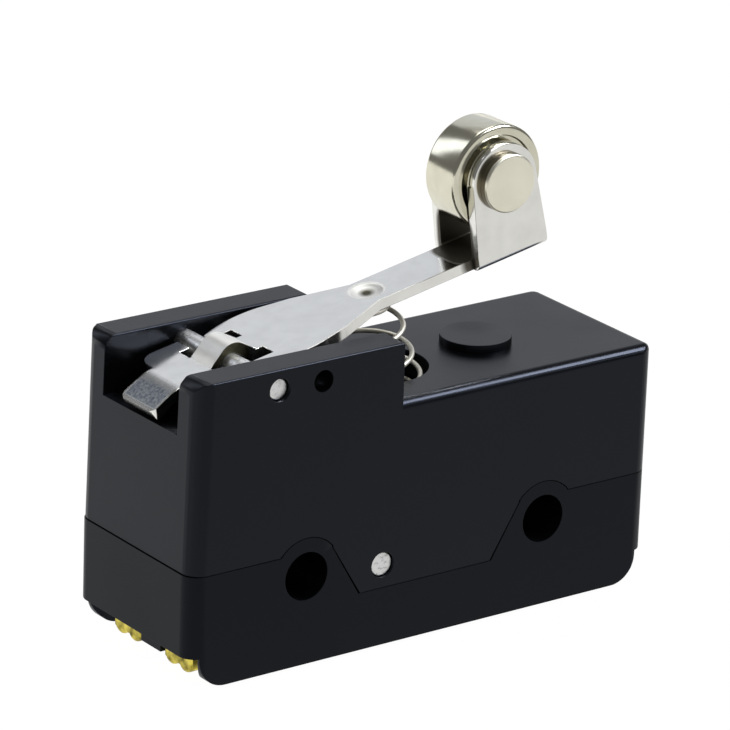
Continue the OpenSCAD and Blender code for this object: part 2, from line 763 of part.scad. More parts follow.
// Ring of points round the wire, square to the coil's radius and the vertical
function wire_ring(t, sides) =
    let (
        p = coil_point(t),
        angle = coil_start + 360 * coil_turns * t,
        outward = [cos(angle), sin(angle), 0]
    )
    [for (i = [0:sides - 1])
        let (around = 360 * i / sides)
        p + wire_d / 2 * (outward * cos(around) + [0, 0, sin(around)])];

module return_spring() {
    sides = 8;
    steps = round(coil_turns * 24);
    rings = [for (k = [0:steps]) each wire_ring(k / steps, sides)];
    walls = [for (k = [0:steps - 1], i = [0:sides - 1])
        let (j = (i + 1) % sides)
        [k * sides + i, k * sides + j, (k + 1) * sides + j, (k + 1) * sides + i]];
    first = [for (i = [sides - 1:-1:0]) i];
    last = [for (i = [0:sides - 1]) steps * sides + i];
    color("#b9bbbb")
    translate([plunger_x, 0, 0]) polyhedron(rings, concat(walls, [first, last]), convexity = 8);
}

module plunger() {
    neck_z = plunger_flange_top_z - plunger_flange_t;
    dome_z = plunger_top_z - plunger_dome_r;
    color("#1d1e20") translate([plunger_x, 0, 0]) {
        intersection() {
            translate([0, 0, neck_z]) cylinder(h = plunger_top_z - neck_z, r = plunger_r);
            union() {
                cylinder(h = dome_z, r = plunger_dome_r);
                translate([0, 0, dome_z]) sphere(plunger_dome_r);
            }
        }
        translate([0, 0, neck_z]) cylinder(h = plunger_flange_t, r = plunger_flange_r);
        translate([0, 0, plunger_foot_z]) cylinder(h = neck_z - plunger_foot_z + eps, r = plunger_foot_r);
    }
}

// Flat spring on a knife edge, with a bowed tongue cut out of its middle
module contact_blade() {
    window_half = tongue_w / 2 + tongue_slit;
    tongue_from = plunger_x - plunger_foot_r - 3 * tongue_slit / 2;
    tongue_to = anchor_x + strip_t / 2 + touch_gap * 4;
    rim = 0.6;
    anchor_room = 2;
    tip_x = contact_x + contact_r + rim;
    low = blade_z - blade_t / 2;
    color("#b5803c") {
        difference() {
            span([blade_root_x - rim, -blade_w / 2, low], [tip_x, blade_w / 2, low + blade_t]);
            span([anchor_x - anchor_room, -window_half, 0], [tongue_from, window_half, far]);
            translate([contact_x, 0, 0]) cylinder(h = far, r = contact_r / 2 + touch_gap);
        }
        along_y(-tongue_w / 2, tongue_w / 2) bowed_strip(tongue_to, tongue_from + eps);
    }
}

// Side view of the tongue: an arc that starts level with the blade and sags to its free end
module bowed_strip(x0, x1) {
    run = x1 - x0;
    r = (run * run + tongue_sag * tongue_sag) / (2 * tongue_sag);
    intersection() {
        translate([x1, blade_z - r]) difference() {
            circle(r + blade_t / 2, $fn = 256);
            circle(r - blade_t / 2, $fn = 256);
        }
        translate([x0, parting_z]) square([run, blade_z]);
    }
}

module moving_contact() {
    half = moving_contact_t / 2;
    head_t = half - blade_t / 2 - touch_gap;
    color("#d8dadb")
    translate([contact_x, 0, blade_z]) {
        cylinder(h = moving_contact_t, r = contact_r / 2, center = true);
        translate([0, 0, half - head_t]) cylinder(h = head_t, r = contact_r);
        translate([0, 0, -half]) cylinder(h = head_t, r = contact_r);
    }
}

// Angle bracket on the base that the tongue's free end bears on
module blade_anchor() {
    foot_l = 2.6;
    color("#c9a24a") {
        span([anchor_x - strip_t / 2, -tongue_w / 2, parting_z],
             [anchor_x + strip_t / 2, tongue_w / 2, parting_z + anchor_h]);
        span([anchor_x - strip_t / 2, -tongue_w, parting_z],
             [anchor_x + foot_l, tongue_w, parting_z + strip_t]);
    }
}

module normally_closed_contact() {
    color("#d8dadb")
    translate([contact_x, 0, closed_contact_z])
        cylinder(h = closed_strip_z - closed_contact_z, r = contact_r);
}

module normally_open_contact() {
    color("#d8dadb")
    translate([contact_x, 0, open_strip_z]) cylinder(h = open_contact_z - open_strip_z, r = contact_r);
}

// Section of a tine, with two round lobes at its lower edge
module tine_section(fork) {
    lobe_r = (plate_half_w - fork) / 4;
    translate([fork, tine_foot_z + tine_notch]) square([4 * lobe_r, channel_z - tine_foot_z - tine_notch]);
    for (y = [fork + lobe_r, plate_half_w - lobe_r])
        translate([y, tine_foot_z + lobe_r]) circle(lobe_r);
}

// Plate at one end of the channel, with a screw hole, two end tines and a riser into the case
module end_plate(side) {
    out = end_plate_out;
    fork = key_w / 2 + tine_gap;
    mirror([side < 0 ? 1 : 0, 0, 0]) {
        difference() {
            span([end_plate_in, -plate_half_w, plate_low_z], [out, plate_half_w, channel_z]);
            translate([screw_x, 0, 0]) cylinder(h = far, r = screw_r + touch_gap);
            span([out - plate_t - tine_gap, -fork, 0], [far, fork, far]);
        }
        for (end = [0, 1])
            mirror([0, end, 0])
                along_x(out - plate_t, out) tine_section(fork);
    }
}

// Strip that stands in the base, from the plate up to a height
module end_riser(side, top) {
    riser_x = side * (riser_out - strip_t / 2);
    span([riser_x - strip_t / 2, -riser_w / 2, channel_z - eps], [riser_x + strip_t / 2, riser_w / 2, top]);
}

module common_terminal() {
    seat_z = blade_z - blade_t / 2 - touch_gap;
    color("#d9b24f") {
        end_plate(-1);
        end_riser(-1, seat_z);
        span([-riser_out, -riser_w / 2, seat_z - strip_t], [blade_root_x, riser_w / 2, seat_z]);
    }
}

module normally_open_terminal() {
    color("#d9b24f") {
        end_plate(1);
        end_riser(1, open_strip_z);
        span([contact_x - contact_r, -riser_w / 2, parting_z], [riser_out, riser_w / 2, open_strip_z]);
    }
}

module normally_closed_terminal() {
    far_x = contact_x + contact_r;
    color("#d9b24f") {
        difference() {
            span([-mid_plate_half_l, -plate_half_w, plate_low_z],
                 [mid_plate_half_l, plate_half_w, channel_z]);
            cylinder(h = far, r = screw_r + touch_gap);
        }
        span([closed_riser_x, closed_strip_y, channel_z - eps],
             [closed_riser_x + strip_t, plate_half_w, closed_strip_z + strip_t]);
        span([closed_riser_x, closed_strip_y, closed_strip_z],
             [far_x, plate_half_w, closed_strip_z + strip_t]);
        span([contact_x - contact_r, -contact_r, closed_strip_z],
             [far_x, plate_half_w, closed_strip_z + strip_t]);
    }
}

// Slotted screw, head down, seated on its washer
module terminal_screw(x) {
    shank_l = screw_hole_z - screw_end_gap - washer_low_z;
    color("#cfd1d2")
    translate([x, 0, 0]) difference() {
        union() {
            translate([0, 0, screw_low_z]) cylinder(h = screw_head_t, r = screw_head_r);
            translate([0, 0, washer_low_z]) cylinder(h = shank_l, r = screw_r);
        }
        span([-screw_head_r - lap, -slot_w / 2, screw_low_z - lap],
             [screw_head_r + lap, slot_w / 2, screw_low_z + slot_depth]);
    }
}

// Square washer with two turned-down lips that hold the wire
module saddle_washer(x) {
    lip = washer_t;
    inner = screw_head_r + washer_lip_gap;
    color("#d5d6d4")
    translate([x, 0, 0]) {
        difference() {
            span([-inner, -inner - lip, washer_low_z], [inner, inner + lip, plate_low_z]);
            cylinder(h = far, r = screw_r + touch_gap);
        }
        for (side = [0, 1])
            mirror([0, side, 0]) span([-inner, inner, washer_low_z - lip], [inner, inner + lip, plate_low_z]);
    }
}

module common_screw() { terminal_screw(-screw_x); }
module normally_closed_screw() { terminal_screw(0); }
module normally_open_screw() { terminal_screw(screw_x); }
module common_washer() { saddle_washer(-screw_x); }
module normally_closed_washer() { saddle_washer(0); }
module normally_open_washer() { saddle_washer(screw_x); }

base();
case();
case_rivet();
hinge_pin();
lever();
roller_axle();
roller();
return_spring();
plunger();
contact_blade();
moving_contact();
blade_anchor();
normally_closed_contact();
normally_open_contact();
common_terminal();
normally_closed_terminal();
normally_open_terminal();
common_screw();
normally_closed_screw();
normally_open_screw();
common_washer();
normally_closed_washer();
normally_open_washer();
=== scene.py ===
"""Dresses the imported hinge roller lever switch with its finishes, and sets its camera and studio.

Row frame: origin at the middle of the underside, +X towards the roller, -Y the front, +Z up. Lengths in
this script are in millimetres until a mesh, a lamp or the camera is made, and MM turns them into metres.
"""

from __future__ import annotations

import json
import logging
import math
from collections.abc import Callable, Sequence
from dataclasses import dataclass
from enum import Enum

import bmesh
import bpy
import numpy as np
from mathutils import Matrix, Vector

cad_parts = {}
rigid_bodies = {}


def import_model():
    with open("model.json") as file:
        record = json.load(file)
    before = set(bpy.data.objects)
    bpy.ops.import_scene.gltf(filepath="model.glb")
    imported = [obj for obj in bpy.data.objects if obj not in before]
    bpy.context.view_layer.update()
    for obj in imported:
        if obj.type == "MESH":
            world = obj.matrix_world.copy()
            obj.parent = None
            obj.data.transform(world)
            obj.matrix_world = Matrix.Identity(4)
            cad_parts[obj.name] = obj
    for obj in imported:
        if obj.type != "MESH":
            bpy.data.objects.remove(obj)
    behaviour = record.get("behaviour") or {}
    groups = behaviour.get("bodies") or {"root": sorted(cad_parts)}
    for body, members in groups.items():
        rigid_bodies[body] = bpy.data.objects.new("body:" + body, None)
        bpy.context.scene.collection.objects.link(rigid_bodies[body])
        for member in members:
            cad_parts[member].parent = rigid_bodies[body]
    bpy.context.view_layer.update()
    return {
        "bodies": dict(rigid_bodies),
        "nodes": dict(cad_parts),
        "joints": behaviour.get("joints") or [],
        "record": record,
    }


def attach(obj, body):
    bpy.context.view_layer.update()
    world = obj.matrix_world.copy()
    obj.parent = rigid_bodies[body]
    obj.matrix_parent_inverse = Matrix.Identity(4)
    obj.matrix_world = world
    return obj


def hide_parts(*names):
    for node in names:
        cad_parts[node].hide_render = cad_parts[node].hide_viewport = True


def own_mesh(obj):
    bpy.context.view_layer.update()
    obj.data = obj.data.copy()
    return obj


LOG = logging.getLogger("switch")
MM = 0.001
# X and Z of the hinge pin's axis and of the roller's
HINGE = (-16.0, 25.65)
ROLLER = (11.1506, 37.9567)
# Slope of the lever at rest, in degrees, and thickness of its sheet
SLOPE = 11.0
SHEET = 1.0
# An open profile of a turned piece starts and ends this far from its axis
CORE = 0.02
# Cosine from which two legs of a line count as straight, and the shortest step of a line
STRAIGHT = 0.999999
SHORTEST = 1e-7
# A cut and a point closer than this touch
TOUCHING = 0.001
# Watts of a lamp whose face has a square metre and a radiance of 1
LAMP_POWER = 4.0
# Window of a value that is a share already
WHOLE = (0.0, 1.0)

Rgba = tuple[float, float, float, float]
Point = tuple[float, float, float]
Span = tuple[float, float]
Move = Callable[[np.ndarray], np.ndarray]
Tree = bpy.types.NodeTree
Socket = bpy.types.NodeSocket


class Slot(Enum):
    """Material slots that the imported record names."""

    BASE = "base_plastic"
    CASE = "case_plastic"
    PLUNGER = "plunger_plastic"
    LEVER = "lever_steel"
    ROLLER = "roller_nickel"
    AXLE = "axle_nickel"
    PIN = "pin_steel"
    SPRING = "spring_steel"
    SCREW = "screw_steel"
    TERMINAL = "terminal_brass"
    BLADE = "blade_bronze"
    CONTACT = "contact_silver"


class Ride(Enum):
    """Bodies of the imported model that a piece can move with."""

    HOUSING = "housing"
    LEVER = "lever"
    ROLLER = "roller"
    PLUNGER = "plunger"
    BLADE = "blade"


def linear(colour: str) -> Rgba:
    """Turns an sRGB hex colour into linear light, by the curve of sRGB: a straight foot, then a power.

    Args:
        colour: "#rrggbb".

    Returns:
        Red, green and blue in linear light, and an alpha of 1.
    """
    srgb = np.array([int(colour[i : i + 2], 16) for i in (1, 3, 5)]) / 255.0
    light = np.where(srgb <= 0.04045, srgb / 12.92, ((srgb + 0.055) / 1.055) ** 2.4)
    return (*light.tolist(), 1.0)


def add_node(tree: Tree, kind: str, sockets: dict | None = None, **settings: object) -> bpy.types.Node:
    """Adds a node to a tree, with its settings, constants and links.

    Args:
        tree: Node tree that gets the node.
        kind: Blender's name of the node type.
        sockets: Input name or index to a constant, or to an output socket that is linked to it.
        **settings: Properties of the node.

    Returns:
        The new node.
    """
    node = tree.nodes.new(kind)
    for name, value in settings.items():
        setattr(node, name, value)
    for name, value in (sockets or {}).items():
        if isinstance(value, Socket):
            tree.links.new(value, node.inputs[name])
        else:
            node.inputs[name].default_value = value
    return node


def grain(
    tree: Tree, coords: Socket, size: float, detail: float = 2.0, stretch: Sequence[float] = (1.0, 1.0, 1.0)
) -> Socket:
    """Noise whose blobs have a size in millimetres.

    Args:
        tree: Node tree of the material.
        coords: Object coordinates, in metres.
        size: Size of a blob.
        detail: Octaves of finer noise on top.
        stretch: How much longer a blob is along each axis.

    Returns:
        The noise, around 0.5.
    """
    scale = tuple(1.0 / (size * MM * s) for s in stretch)
    mapped = add_node(tree, "ShaderNodeMapping", {"Vector": coords, "Scale": scale}).outputs["Vector"]
    return add_node(tree, "ShaderNodeTexNoise", {"Vector": mapped, "Scale": 1.0, "Detail": detail}).outputs[0]


def spread(
    tree: Tree, value: Socket, low: float | Socket, high: float | Socket, window: Span = (0.3, 0.7)
) -> Socket:
    """Maps a value evenly: low up to the start of a window, high from its end on."""
    sockets = {"Value": value, "From Min": window[0], "From Max": window[1], "To Min": low, "To Max": high}
    return add_node(tree, "ShaderNodeMapRange", sockets).outputs["Result"]


def metres(span: Span) -> Span:
    """Turns both ends of a span from millimetres into metres."""
    return (span[0] * MM, span[1] * MM)


def tint(tree: Tree, share: Socket, one: str | Socket, other: str) -> Socket:
    """Colour that goes by a share from one, a hex colour or a socket, to another hex colour."""
    sockets = {0: share, 6: linear(one) if isinstance(one, str) else one, 7: linear(other)}
    return add_node(tree, "ShaderNodeMix", sockets, data_type="RGBA").outputs[2]


def relief(tree: Tree, height: Socket, depth: float) -> Socket:
    """Normal of a surface whose height varies by a depth in millimetres."""
    sockets = {"Strength": 1.0, "Distance": depth * MM, "Height": height}
    return add_node(tree, "ShaderNodeBump", sockets).outputs[0]


def length(tree: Tree, vector: Socket) -> Socket:
    """Length of a vector."""
    return add_node(tree, "ShaderNodeVectorMath", {0: vector}, operation="LENGTH").outputs["Value"]


def along(tree: Tree, coords: Socket, way: Point) -> Socket:
    """Distance from the origin along a direction."""
    sockets = {0: coords, 1: way}
    return add_node(tree, "ShaderNodeVectorMath", sockets, operation="DOT_PRODUCT").outputs["Value"]


def aside(tree: Tree, coords: Socket) -> Socket:
    """Distance from the plane that halves the switch lengthwise."""
    across = along(tree, coords, (0.0, 1.0, 0.0))
    return add_node(tree, "ShaderNodeMath", {0: across}, operation="ABSOLUTE").outputs[0]


def local(tree: Tree, coords: Socket, centre: Point, size: Point) -> Socket:
    """Place within a patch of the surface.

    Args:
        tree: Node tree of the material.
        coords: Object coordinates.
        centre: Centre of the patch.
        size: Its reach along each axis.

    Returns:
        Coordinates that are 0 at the centre and 1 at the reach.
    """
    scale = tuple(1.0 / (s * MM) for s in size)
    place = tuple(-c / s for c, s in zip(centre, size))
    sockets = {"Vector": coords, "Location": place, "Scale": scale}
    return add_node(tree, "ShaderNodeMapping", sockets).outputs["Vector"]


@dataclass(frozen=True)
class Finish:
    """A surface finish that builds its own material."""

    name: str

    def sockets(self, tree: Tree, coords: Socket) -> dict:
        """Inputs of the shader, made from nodes of the tree and its object coordinates."""
        raise NotImplementedError

    def build(self) -> bpy.types.Material:
        """Makes the material.

        Returns:
            A material with one principled shader.
        """
        material = bpy.data.materials.new(self.name)
        material.use_nodes = True
        tree = material.node_tree
        tree.nodes.clear()
        coords = add_node(tree, "ShaderNodeTexCoord").outputs["Object"]
        shader = add_node(tree, "ShaderNodeBsdfPrincipled", self.sockets(tree, coords))
        add_node(tree, "ShaderNodeOutputMaterial", {"Surface": shader.outputs["BSDF"]})
        return material


@dataclass(frozen=True)
class MouldedPlastic(Finish):
    """Satin moulded plastic: a dark body colour under a soft, slightly uneven gloss."""

    dark: str
    pale: str
    rough_low: float
    rough_high: float
    gloss: float = 0.22
    gloss_tint: str = "#dbe6ff"
    cloud_size: float = 9.0
    grain_size: float = 0.3
    grain_depth: float = 0.0012

    def sockets(self, tree: Tree, coords: Socket) -> dict:
        """Clouded colour and gloss, and the fine skin that the mould leaves.

        Args:
            tree: Node tree of the material.
            coords: Object coordinates.

        Returns:
            Inputs of the shader.
        """
        clouds = grain(tree, coords, self.cloud_size, detail=3.0)
        # The mould's real skin is about 0.08 mm, too fine to see, so it is drawn coarser
        skin = grain(tree, coords, self.grain_size)
        return {
            "Base Color": tint(tree, spread(tree, clouds, 0.0, 1.0), self.dark, self.pale),
            "Roughness": spread(tree, clouds, self.rough_low, self.rough_high),
            "IOR": 1.5,
            "Specular IOR Level": self.gloss,
            "Specular Tint": linear(self.gloss_tint),
            "Normal": relief(tree, skin, self.grain_depth),
        }


@dataclass(frozen=True)
class RubbedPlastic(MouldedPlastic):
    """Moulded plastic with one duller patch, on the stop pad that the lever strikes."""

    patch: Point = (11.9, 1.8, 22.99)
    patch_size: Point = (2.6, 2.6, 0.5)
    patch_fade: Span = (0.3, 1.0)
    patch_gloss: float = 0.15

    def sockets(self, tree: Tree, coords: Socket) -> dict:
        """The plastic's inputs, with less gloss in the patch.

        Args:
            tree: Node tree of the material.
            coords: Object coordinates.

        Returns:
            Inputs of the shader.
        """
        made = super().sockets(tree, coords)
        reach = length(tree, local(tree, coords, self.patch, self.patch_size))
        made["Specular IOR Level"] = spread(tree, reach, self.patch_gloss, self.gloss, self.patch_fade)
        return made


@dataclass(frozen=True)
class SheetMetal(Finish):
    """Rolled or plated sheet: metal with faint lines along the rolling direction and a mottled gloss."""

    pale: str
    shade: str
    rough_low: float
    rough_high: float
    mottle_size: float = 1.6
    mottle_window: Span = (0.35, 0.7)
    line_size: float = 0.14
    line_stretch: Point = (30.0, 1.0, 1.0)
    line_depth: float = 0.0006

    def sockets(self, tree: Tree, coords: Socket) -> dict:
        """Mottled colour, gloss in patches, and lines along X.

        Args:
            tree: Node tree of the material.
            coords: Object coordinates.

        Returns:
            Inputs of the shader.
        """
        mottle = grain(tree, coords, self.mottle_size, detail=4.0)
        # Rolling lines are a few hundredths of a millimetre apart, so they are drawn coarser
        lines = grain(tree, coords, self.line_size, detail=1.0, stretch=self.line_stretch)
        share = spread(tree, mottle, 0.0, 1.0, self.mottle_window)
        return {
            "Base Color": tint(tree, share, self.pale, self.shade),
            "Metallic": 1.0,
            "Roughness": spread(tree, mottle, self.rough_low, self.rough_high),
            "Normal": relief(tree, lines, self.line_depth),
        }


@dataclass(frozen=True)
class FoldedPlate(SheetMetal):
    """Plated sheet after folding: clear on its flats, hazy on the bent tail, satin where it was pressed.

    Shade is painted into its colour: it is darker between the ears, in the middle of the dimple and on the
    cut sides of the band over the pin, and a darker blue-grey on the bent tail.
    A span is where a share goes from one end to the other: a length, or the place within a patch.
    """

    # Painted shade: the bent tail's darker blue-grey stands in for the shade that it lies in
    haze: str = "#69717d"
    haze_rough: float = 0.46
    tail_bend: Span = (-22.8, -21.6)
    tail_rim: Span = (2.15, 2.3)
    tail_way: Point = (0.819, 0.0, 0.574)
    tail_end: Span = (-6.5, -6.35)
    speck_size: float = 0.24
    speck_share: Span = (0.6, 1.0)
    # Painted shade in the nook between the ears
    dark: str = "#6b675e"
    dark_rough: float = 0.5
    nook: Point = (10.8, 0.0, 32.0)
    nook_size: Point = (3.9, 2.95, 3.3)
    nook_fade: Span = (0.8, 1.0)
    pressed_rough: float = 0.48
    dimple: Point = (-0.8, 0.22, 28.95)
    dimple_size: Point = (1.8, 1.8, 1.8)
    dimple_fade: Span = (0.85, 1.0)
    # Painted shade in the middle of the dimple and on the cut sides of the band over the pin
    pit: str = "#4a4738"
    pit_fade: Span = (0.18, 0.48)
    knuckle: Point = (-16.2, 0.0, 26.4)
    knuckle_size: Point = (2.5, 3.0, 2.5)
    knuckle_fade: Span = (0.7, 1.0)
    cut_fade: Span = (0.9, 1.1)
    cut_from: Span = (1.51, 1.54)
    cut_to: Span = (1.75, 1.85)

    def sockets(self, tree: Tree, coords: Socket) -> dict:
        """The sheet's inputs, with the haze, the satin and the painted shade laid over them.

        Args:
            tree: Node tree of the material.
            coords: Object coordinates.

        Returns:
            Inputs of the shader.
        """
        made = super().sockets(tree, coords)
        hazy = self.hazy(tree, coords)
        shaded = self.shaded(tree, coords)
        arch = length(tree, local(tree, coords, self.knuckle, self.knuckle_size))
        dish = length(tree, local(tree, coords, self.dimple, self.dimple_size))
        rough = spread(tree, hazy, made["Roughness"], self.haze_rough, WHOLE)
        rough = spread(tree, arch, self.pressed_rough, rough, self.knuckle_fade)
        rough = spread(tree, dish, self.pressed_rough, rough, self.dimple_fade)
        made["Roughness"] = spread(tree, shaded, rough, self.dark_rough, WHOLE)
        # The pickled grain is about 0.1 mm, so it is drawn coarser
        speck = spread(tree, grain(tree, coords, self.speck_size, detail=3.0), *self.speck_share)
        # Painted shade on the bent tail, broken up by the specks
        share = add_node(tree, "ShaderNodeMath", {0: hazy, 1: speck}, operation="MULTIPLY").outputs[0]
        colour = tint(tree, share, made["Base Color"], self.haze)
        # Painted shade on the cut sides of the band over the pin
        colour = tint(tree, self.sheared(tree, coords, arch), colour, self.pit)
        # Painted shade in the middle of the dimple
        colour = tint(tree, spread(tree, dish, 1.0, 0.0, self.pit_fade), colour, self.pit)
        # Painted shade in the nook between the ears
        made["Base Color"] = tint(tree, shaded, colour, self.dark)
        return made

    def hazy(self, tree: Tree, coords: Socket) -> Socket:
        """Share of the haze and of the painted shade: full on the bent tail, none on its rims and past its
        bend.

        Args:
            tree: Node tree of the material.
            coords: Object coordinates.

        Returns:
            The share.
        """
        bent = spread(tree, along(tree, coords, (1.0, 0.0, 0.0)), 1.0, 0.0, metres(self.tail_bend))
        inner = spread(tree, aside(tree, coords), bent, 0.0, metres(self.tail_rim))
        return spread(tree, along(tree, coords, self.tail_way), 0.0, inner, metres(self.tail_end))

    def sheared(self, tree: Tree, coords: Socket, arch: Socket) -> Socket:
        """Share of painted shade: full on the cut sides of the band over the pin.

        Args:
            tree: Node tree of the material.
            coords: Object coordinates.
            arch: Place within the knuckle, 1 at its reach.

        Returns:
            The share.
        """
        near = spread(tree, arch, 1.0, 0.0, self.cut_fade)
        cut = spread(tree, aside(tree, coords), 0.0, near, metres(self.cut_from))
        return spread(tree, aside(tree, coords), cut, 0.0, metres(self.cut_to))

    def shaded(self, tree: Tree, coords: Socket) -> Socket:
        """Share of the painted shade: full in the nook between the ears, none outside it.

        Args:
            tree: Node tree of the material.
            coords: Object coordinates.

        Returns:
            The share.
        """
        place = local(tree, coords, self.nook, self.nook_size)
        # Squares make the reach that of a box with well rounded corners
        squared = add_node(tree, "ShaderNodeVectorMath", {0: place, 1: place}, operation="MULTIPLY")
        return spread(tree, length(tree, squared.outputs[0]), 1.0, 0.0, self.nook_fade)


@dataclass(frozen=True)
class TurnedMetal(Finish):
    """Turned and plated metal: rings round an axis along Y, fine on the barrel and on the faces."""

    pale: str
    shade: str
    rough_low: float
    rough_high: float
    axis: Span = ROLLER
    ring_size: float = 0.2
    ring_depth: float = 0.0004
    cloud_size: float = 2.2
    # Painted shade where the axle's head meets the ear
    joint: str = "#6d6653"
    joint_y: Span = (-0.1, 0.0)

    def sockets(self, tree: Tree, coords: Socket) -> dict:
        """Rings that depend on the radius and on Y only, with slightly clouded colour.

        Args:
            tree: Node tree of the material.
            coords: Object coordinates.

        Returns:
            Inputs of the shader.
        """
        place = {"Vector": coords, "Location": (-self.axis[0] * MM, 0.0, -self.axis[1] * MM)}
        centred = add_node(tree, "ShaderNodeMapping", place).outputs["Vector"]
        parts = add_node(tree, "ShaderNodeSeparateXYZ", {"Vector": centred}).outputs
        flat = add_node(tree, "ShaderNodeCombineXYZ", {"X": parts["X"], "Z": parts["Z"]}).outputs["Vector"]
        both = {"X": length(tree, flat), "Y": parts["Y"]}
        rings = add_node(tree, "ShaderNodeCombineXYZ", both).outputs["Vector"]
        # Tool marks are about 0.05 mm apart, so they are drawn coarser
        marks = grain(tree, rings, self.ring_size)
        clouds = grain(tree, coords, self.cloud_size, detail=3.0)
        # Painted shade darkens the metal as far out as the joint reaches
        inside = spread(tree, aside(tree, coords), 1.0, 0.0, metres(self.joint_y))
        clouded = tint(tree, spread(tree, clouds, 0.0, 1.0), self.pale, self.shade)
        return {
            "Base Color": tint(tree, inside, clouded, self.joint),
            "Metallic": 1.0,
            "Roughness": spread(tree, clouds, self.rough_low, self.rough_high),
            "Normal": relief(tree, marks, self.ring_depth),
        }


@dataclass(frozen=True)
class PinSteel(Finish):
    """Cut steel pin: bright metal with a scatter of small dark pits on its sheared ends."""

    pale: str
    pit: str
    rough_low: float
    rough_high: float
    pit_size: float = 0.35
    pit_window: Span = (0.56, 0.74)
    pit_depth: float = 0.012

    def sockets(self, tree: Tree, coords: Socket) -> dict:
        """Bright ground with pits that are darker and rougher.

        Args:
            tree: Node tree of the material.
            coords: Object coordinates.

        Returns:
            Inputs of the shader.
        """
        pits = grain(tree, coords, self.pit_size, detail=3.0)
        return {
            "Base Color": tint(tree, spread(tree, pits, 0.0, 1.0, self.pit_window), self.pale, self.pit),
            "Metallic": 1.0,
            "Roughness": spread(tree, pits, self.rough_low, self.rough_high),
            "Normal": relief(tree, pits, self.pit_depth),
        }


class Finishes:
    """Every finish of the switch, built when it is first asked for."""

    def __init__(self) -> None:
        """Lists the finishes by slot."""
        self._listed: dict[Slot, Finish] = {
            # Near-black phenolic, a little cool, that the eye reads by its soft reflections
            Slot.CASE: RubbedPlastic("phenolic_black_satin", "#0f1011", "#131416", 0.27, 0.34, 0.235),
            # The same, a little duller
            Slot.BASE: MouldedPlastic("phenolic_black_base", "#0d0e0f", "#111214", 0.33, 0.40, 0.175),
            # Softer black, without a clear reflection
            Slot.PLUNGER: MouldedPlastic("nylon_black", "#161616", "#1c1c1d", 0.40, 0.50),
            # Satin nickel plate on steel, pale and almost neutral, cloudy where it was bent, with painted
            # shade on the bent tail, between the ears, in the dimple and on the cut sides of the band over
            # the pin
            Slot.LEVER: FoldedPlate("steel_nickel_satin", "#f1f0ea", "#e9e8e2", 0.13, 0.18),
            # Warm bright nickel with crisp dark and light streaks
            Slot.ROLLER: TurnedMetal("nickel_turned_bright", "#e2dfcb", "#d8d4c0", 0.14, 0.20),
            # The same nickel, paler and softer, with a line of painted shade where the ears hold it
            Slot.AXLE: TurnedMetal(
                "nickel_rivet_satin", "#f5f1de", "#eeead6", 0.30, 0.37, joint_y=(3.75, 3.85)
            ),
            # Silvery shear-cut ends with specks
            Slot.PIN: PinSteel("steel_pin_cut", "#e4e4e2", "#9fa1a1", 0.30, 0.55),
            # Warm grey wire with a broad soft light
            Slot.SPRING: SheetMetal("spring_wire_bright", "#d9d5c7", "#c9c5b7", 0.50, 0.58, 0.8),
            # Cool grey plate, a little cloudy
            Slot.SCREW: SheetMetal("steel_zinc_plate", "#c9ccd0", "#aeb2b6", 0.28, 0.42),
            # Yellow brass with dark olive patches
            Slot.TERMINAL: SheetMetal("brass_stamped", "#eddc62", "#665a18", 0.30, 0.42, 0.9),
            # Brown gold of a rolled spring strip
            Slot.BLADE: SheetMetal("bronze_spring_strip", "#b98444", "#9a6a34", 0.24, 0.36),
            # Soft white metal
            Slot.CONTACT: SheetMetal("silver_contact", "#d8d6d0", "#bdbab2", 0.30, 0.45, 0.6),
        }
        self._built: dict[Slot, bpy.types.Material] = {}

    def of(self, slot: Slot) -> bpy.types.Material:
        """The material of a slot.

        Args:
            slot: Slot of the record.

        Returns:
            Its material, made once.
        """
        if slot not in self._built:
            self._built[slot] = self._listed[slot].build()
        return self._built[slot]


def fillet(
    points: Sequence[Sequence[float]], radii: Sequence[float], closed: bool, steps: int = 6
) -> np.ndarray:
    """Rounds the corners of a flat line: each corner becomes an arc that touches both its legs.

    Args:
        points: Corners in order.
        radii: Radius at each corner, 0 to keep it sharp.
        closed: Whether the line goes back to its first corner; the ends of an open line stay sharp.
        steps: Segments of an arc.

    Returns:
        Points of the rounded line, a row each.
    """
    corner = np.asarray(points, float)
    radius = np.asarray(radii, float).copy()
    if not closed:
        radius[[0, -1]] = 0.0
    before = np.roll(corner, 1, 0) - corner
    after = np.roll(corner, -1, 0) - corner
    before /= np.linalg.norm(before, axis=1, keepdims=True)
    after /= np.linalg.norm(after, axis=1, keepdims=True)
    half = np.arccos(np.clip((before * after).sum(1), -STRAIGHT, STRAIGHT)) / 2
    middle = before + after
    middle /= np.maximum(np.linalg.norm(middle, axis=1, keepdims=True), SHORTEST)
    centre = corner + middle * (radius / np.sin(half))[:, None]
    start = corner + before * (radius / np.tan(half))[:, None] - centre
    end = corner + after * (radius / np.tan(half))[:, None] - centre
    turn = math.pi - 2 * half
    share = np.linspace(0.0, 1.0, steps + 1)
    weight_start = np.sin((1 - share)[None] * turn[:, None]) / np.sin(turn)[:, None]
    weight_end = np.sin(share[None] * turn[:, None]) / np.sin(turn)[:, None]
    arcs = centre[:, None] + weight_start[..., None] * start[:, None] + weight_end[..., None] * end[:, None]
    line = arcs.reshape(-1, 2)
    step = np.linalg.norm(np.diff(line, axis=0), axis=1)
    return line[np.r_[True, step > SHORTEST]]


